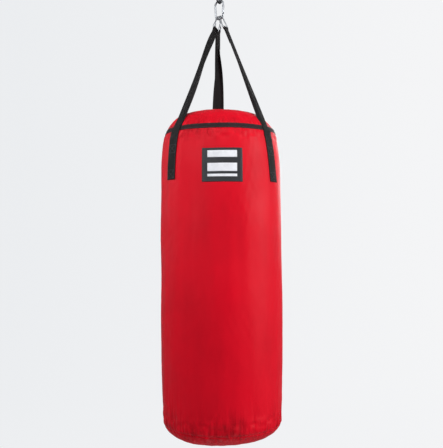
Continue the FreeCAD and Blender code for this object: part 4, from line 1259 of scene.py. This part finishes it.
def make_zip_teeth():
    """Two rows of moulded teeth that mesh in the middle."""
    points, faces = [], []
    pitch = degrees(TOOTH_PITCH / ARCS[0][0])
    corners = len(TOOTH_OUTLINE)
    for number in range(int((2 * ZIP_HALF_ANGLE - 0.7) / pitch)):
        for sign, phase in ((-1, 0.25), (1, 0.75)):
            angle = -ZIP_HALF_ANGLE + 0.35 + (number + phase) * pitch
            base = len(points)
            for rise, size in TOOTH_LEVELS:
                for aside, along in TOOTH_OUTLINE:
                    shaped = TOOTH_MIDDLE + (aside - TOOTH_MIDDLE) * size
                    turn = angle + degrees(along * size / ARCS[0][0])
                    points.append(on_zip(turn, sign * shaped, rise))
            faces += sheet_faces(len(TOOTH_LEVELS), corners, True, base).tolist()
            faces += [list(range(first, first + corners)) for first in (base, len(points) - corners)]
    mesh = mesh_from("zip_teeth_rows", np.array(points), faces, smooth=False)
    place("zip_teeth_rows", mesh, "zip_plastic", ZIP_PLASTIC, ["zip_teeth"])


# ---- room and light
FLOOR_Z = -2.4
FLOOR_R = 5.0
FLOOR_BEND = 2.0                # radius of the bend between floor and backdrop
BACKDROP_HEIGHT = 14.0
STAGE_COLUMNS = 96
# Glow of the paper from left to right: painted shade makes the left darker.
PAPER_SHADED_LEFT, PAPER_LIT_RIGHT = (0.835, 0.850, 0.870), (0.905, 0.910, 0.922)
PAPER_SPAN = 2.5
LIGHTS = (      # name, azimuth, elevation, distance, size, power, height of its aim, spread
    ("key", 74, 16, 2.6, (1.3, 1.8), 58, -0.82, 180),
    ("overhead", -4, 40, 2.7, (2.2, 1.3), 38, -0.72, 180),
    ("left_front", -48, 20, 2.6, (1.0, 0.9), 1.3, -0.66, 36),
    ("left_rim", -104, 22, 2.6, (1.4, 1.6), 18, -0.68, 180),
    ("right_back", 150, 20, 2.8, (1.2, 1.6), 26, -0.85, 180),
    ("under", 30, -80, 2.2, (1.6, 1.6), 17, -1.2, 180),
)
SKY = (0.92, 0.95, 1.0)
SKY_STRENGTH = 0.27


def glowing_paper():
    """Plain paper that glows evenly but for painted shade that makes it a little darker on the left, and
    takes no light.
    """
    finish = Finish("paper", 0.5, Base_Color=(0, 0, 0, 1), Specular_IOR_Level=0.0, Emission_Strength=1.0)
    across = finish.add("SeparateXYZ", Vector=finish.where).outputs["X"]
    shade = finish.range(across, 0.0, 1.0, -PAPER_SPAN, PAPER_SPAN)
    finish.feed(finish.shader, Emission_Color=finish.colours(shade, (0.0, PAPER_SHADED_LEFT), (1.0, PAPER_LIT_RIGHT)))
    return finish.material


def make_stage():
    """A pale floor that curves up into a plain backdrop all round."""
    bend = np.linspace(0.1, pi / 2, 16)
    flat = np.linspace(0.5, FLOOR_R, 10)
    radii = [*flat, *(FLOOR_R + FLOOR_BEND * np.sin(bend)), FLOOR_R + FLOOR_BEND]
    heights = [*(0 * flat), *(FLOOR_BEND * (1 - np.cos(bend))), BACKDROP_HEIGHT]
    turns = all_round(STAGE_COLUMNS)
    rings = [np.stack([r * np.cos(turns), r * np.sin(turns), FLOOR_Z + h + 0 * turns], -1)
             for r, h in zip(radii, heights)]
    faces = sheet_faces(len(radii), STAGE_COLUMNS, True).tolist()
    for first in (0, STAGE_COLUMNS * (len(radii) - 1)):
        faces.append(list(range(first, first + STAGE_COLUMNS)))
    mesh = mesh_from("floor", np.array(rings), faces)
    mesh.materials.append(glowing_paper())
    floor = linked("floor", mesh)
    for ray in ("visible_diffuse", "visible_glossy", "visible_shadow", "visible_transmission"):
        setattr(floor, ray, False)


def make_light(name, azimuth, elevation, distance, size, power, aim_z, spread):
    """A softbox that faces a point of the bag."""
    data = bpy.data.lights.new(name, "AREA")
    data.shape = "RECTANGLE"
    data.size, data.size_y = size
    data.energy = power
    data.spread = radians(spread)
    lamp = linked(name, data)
    turn, rise = radians(azimuth), radians(elevation)
    back = Vector((sin(turn) * cos(rise), -cos(turn) * cos(rise), sin(rise)))
    lamp.location = Vector((0, 0, aim_z)) + back * distance
    lamp.rotation_mode = "QUATERNION"
    lamp.rotation_quaternion = back.to_track_quat("Z", "Y")
    lamp.visible_camera = False


def make_light_rig():
    for light in LIGHTS:
        make_light(*light)
    world = bpy.data.worlds.new("studio")
    world.use_nodes = True
    sky = world.node_tree.nodes["Background"]
    sky.inputs["Color"].default_value = (*SKY, 1)
    sky.inputs["Strength"].default_value = SKY_STRENGTH
    bpy.context.scene.world = world
    bpy.context.scene.view_settings.view_transform = "Standard"


finish_nodes()
make_cover()
make_felt()
make_base_seam()
make_band()
make_label()
make_straps()
make_rings()
make_zip_tapes()
make_zip_teeth()
make_stage()
make_light_rig()

bpy.context.view_layer.update()
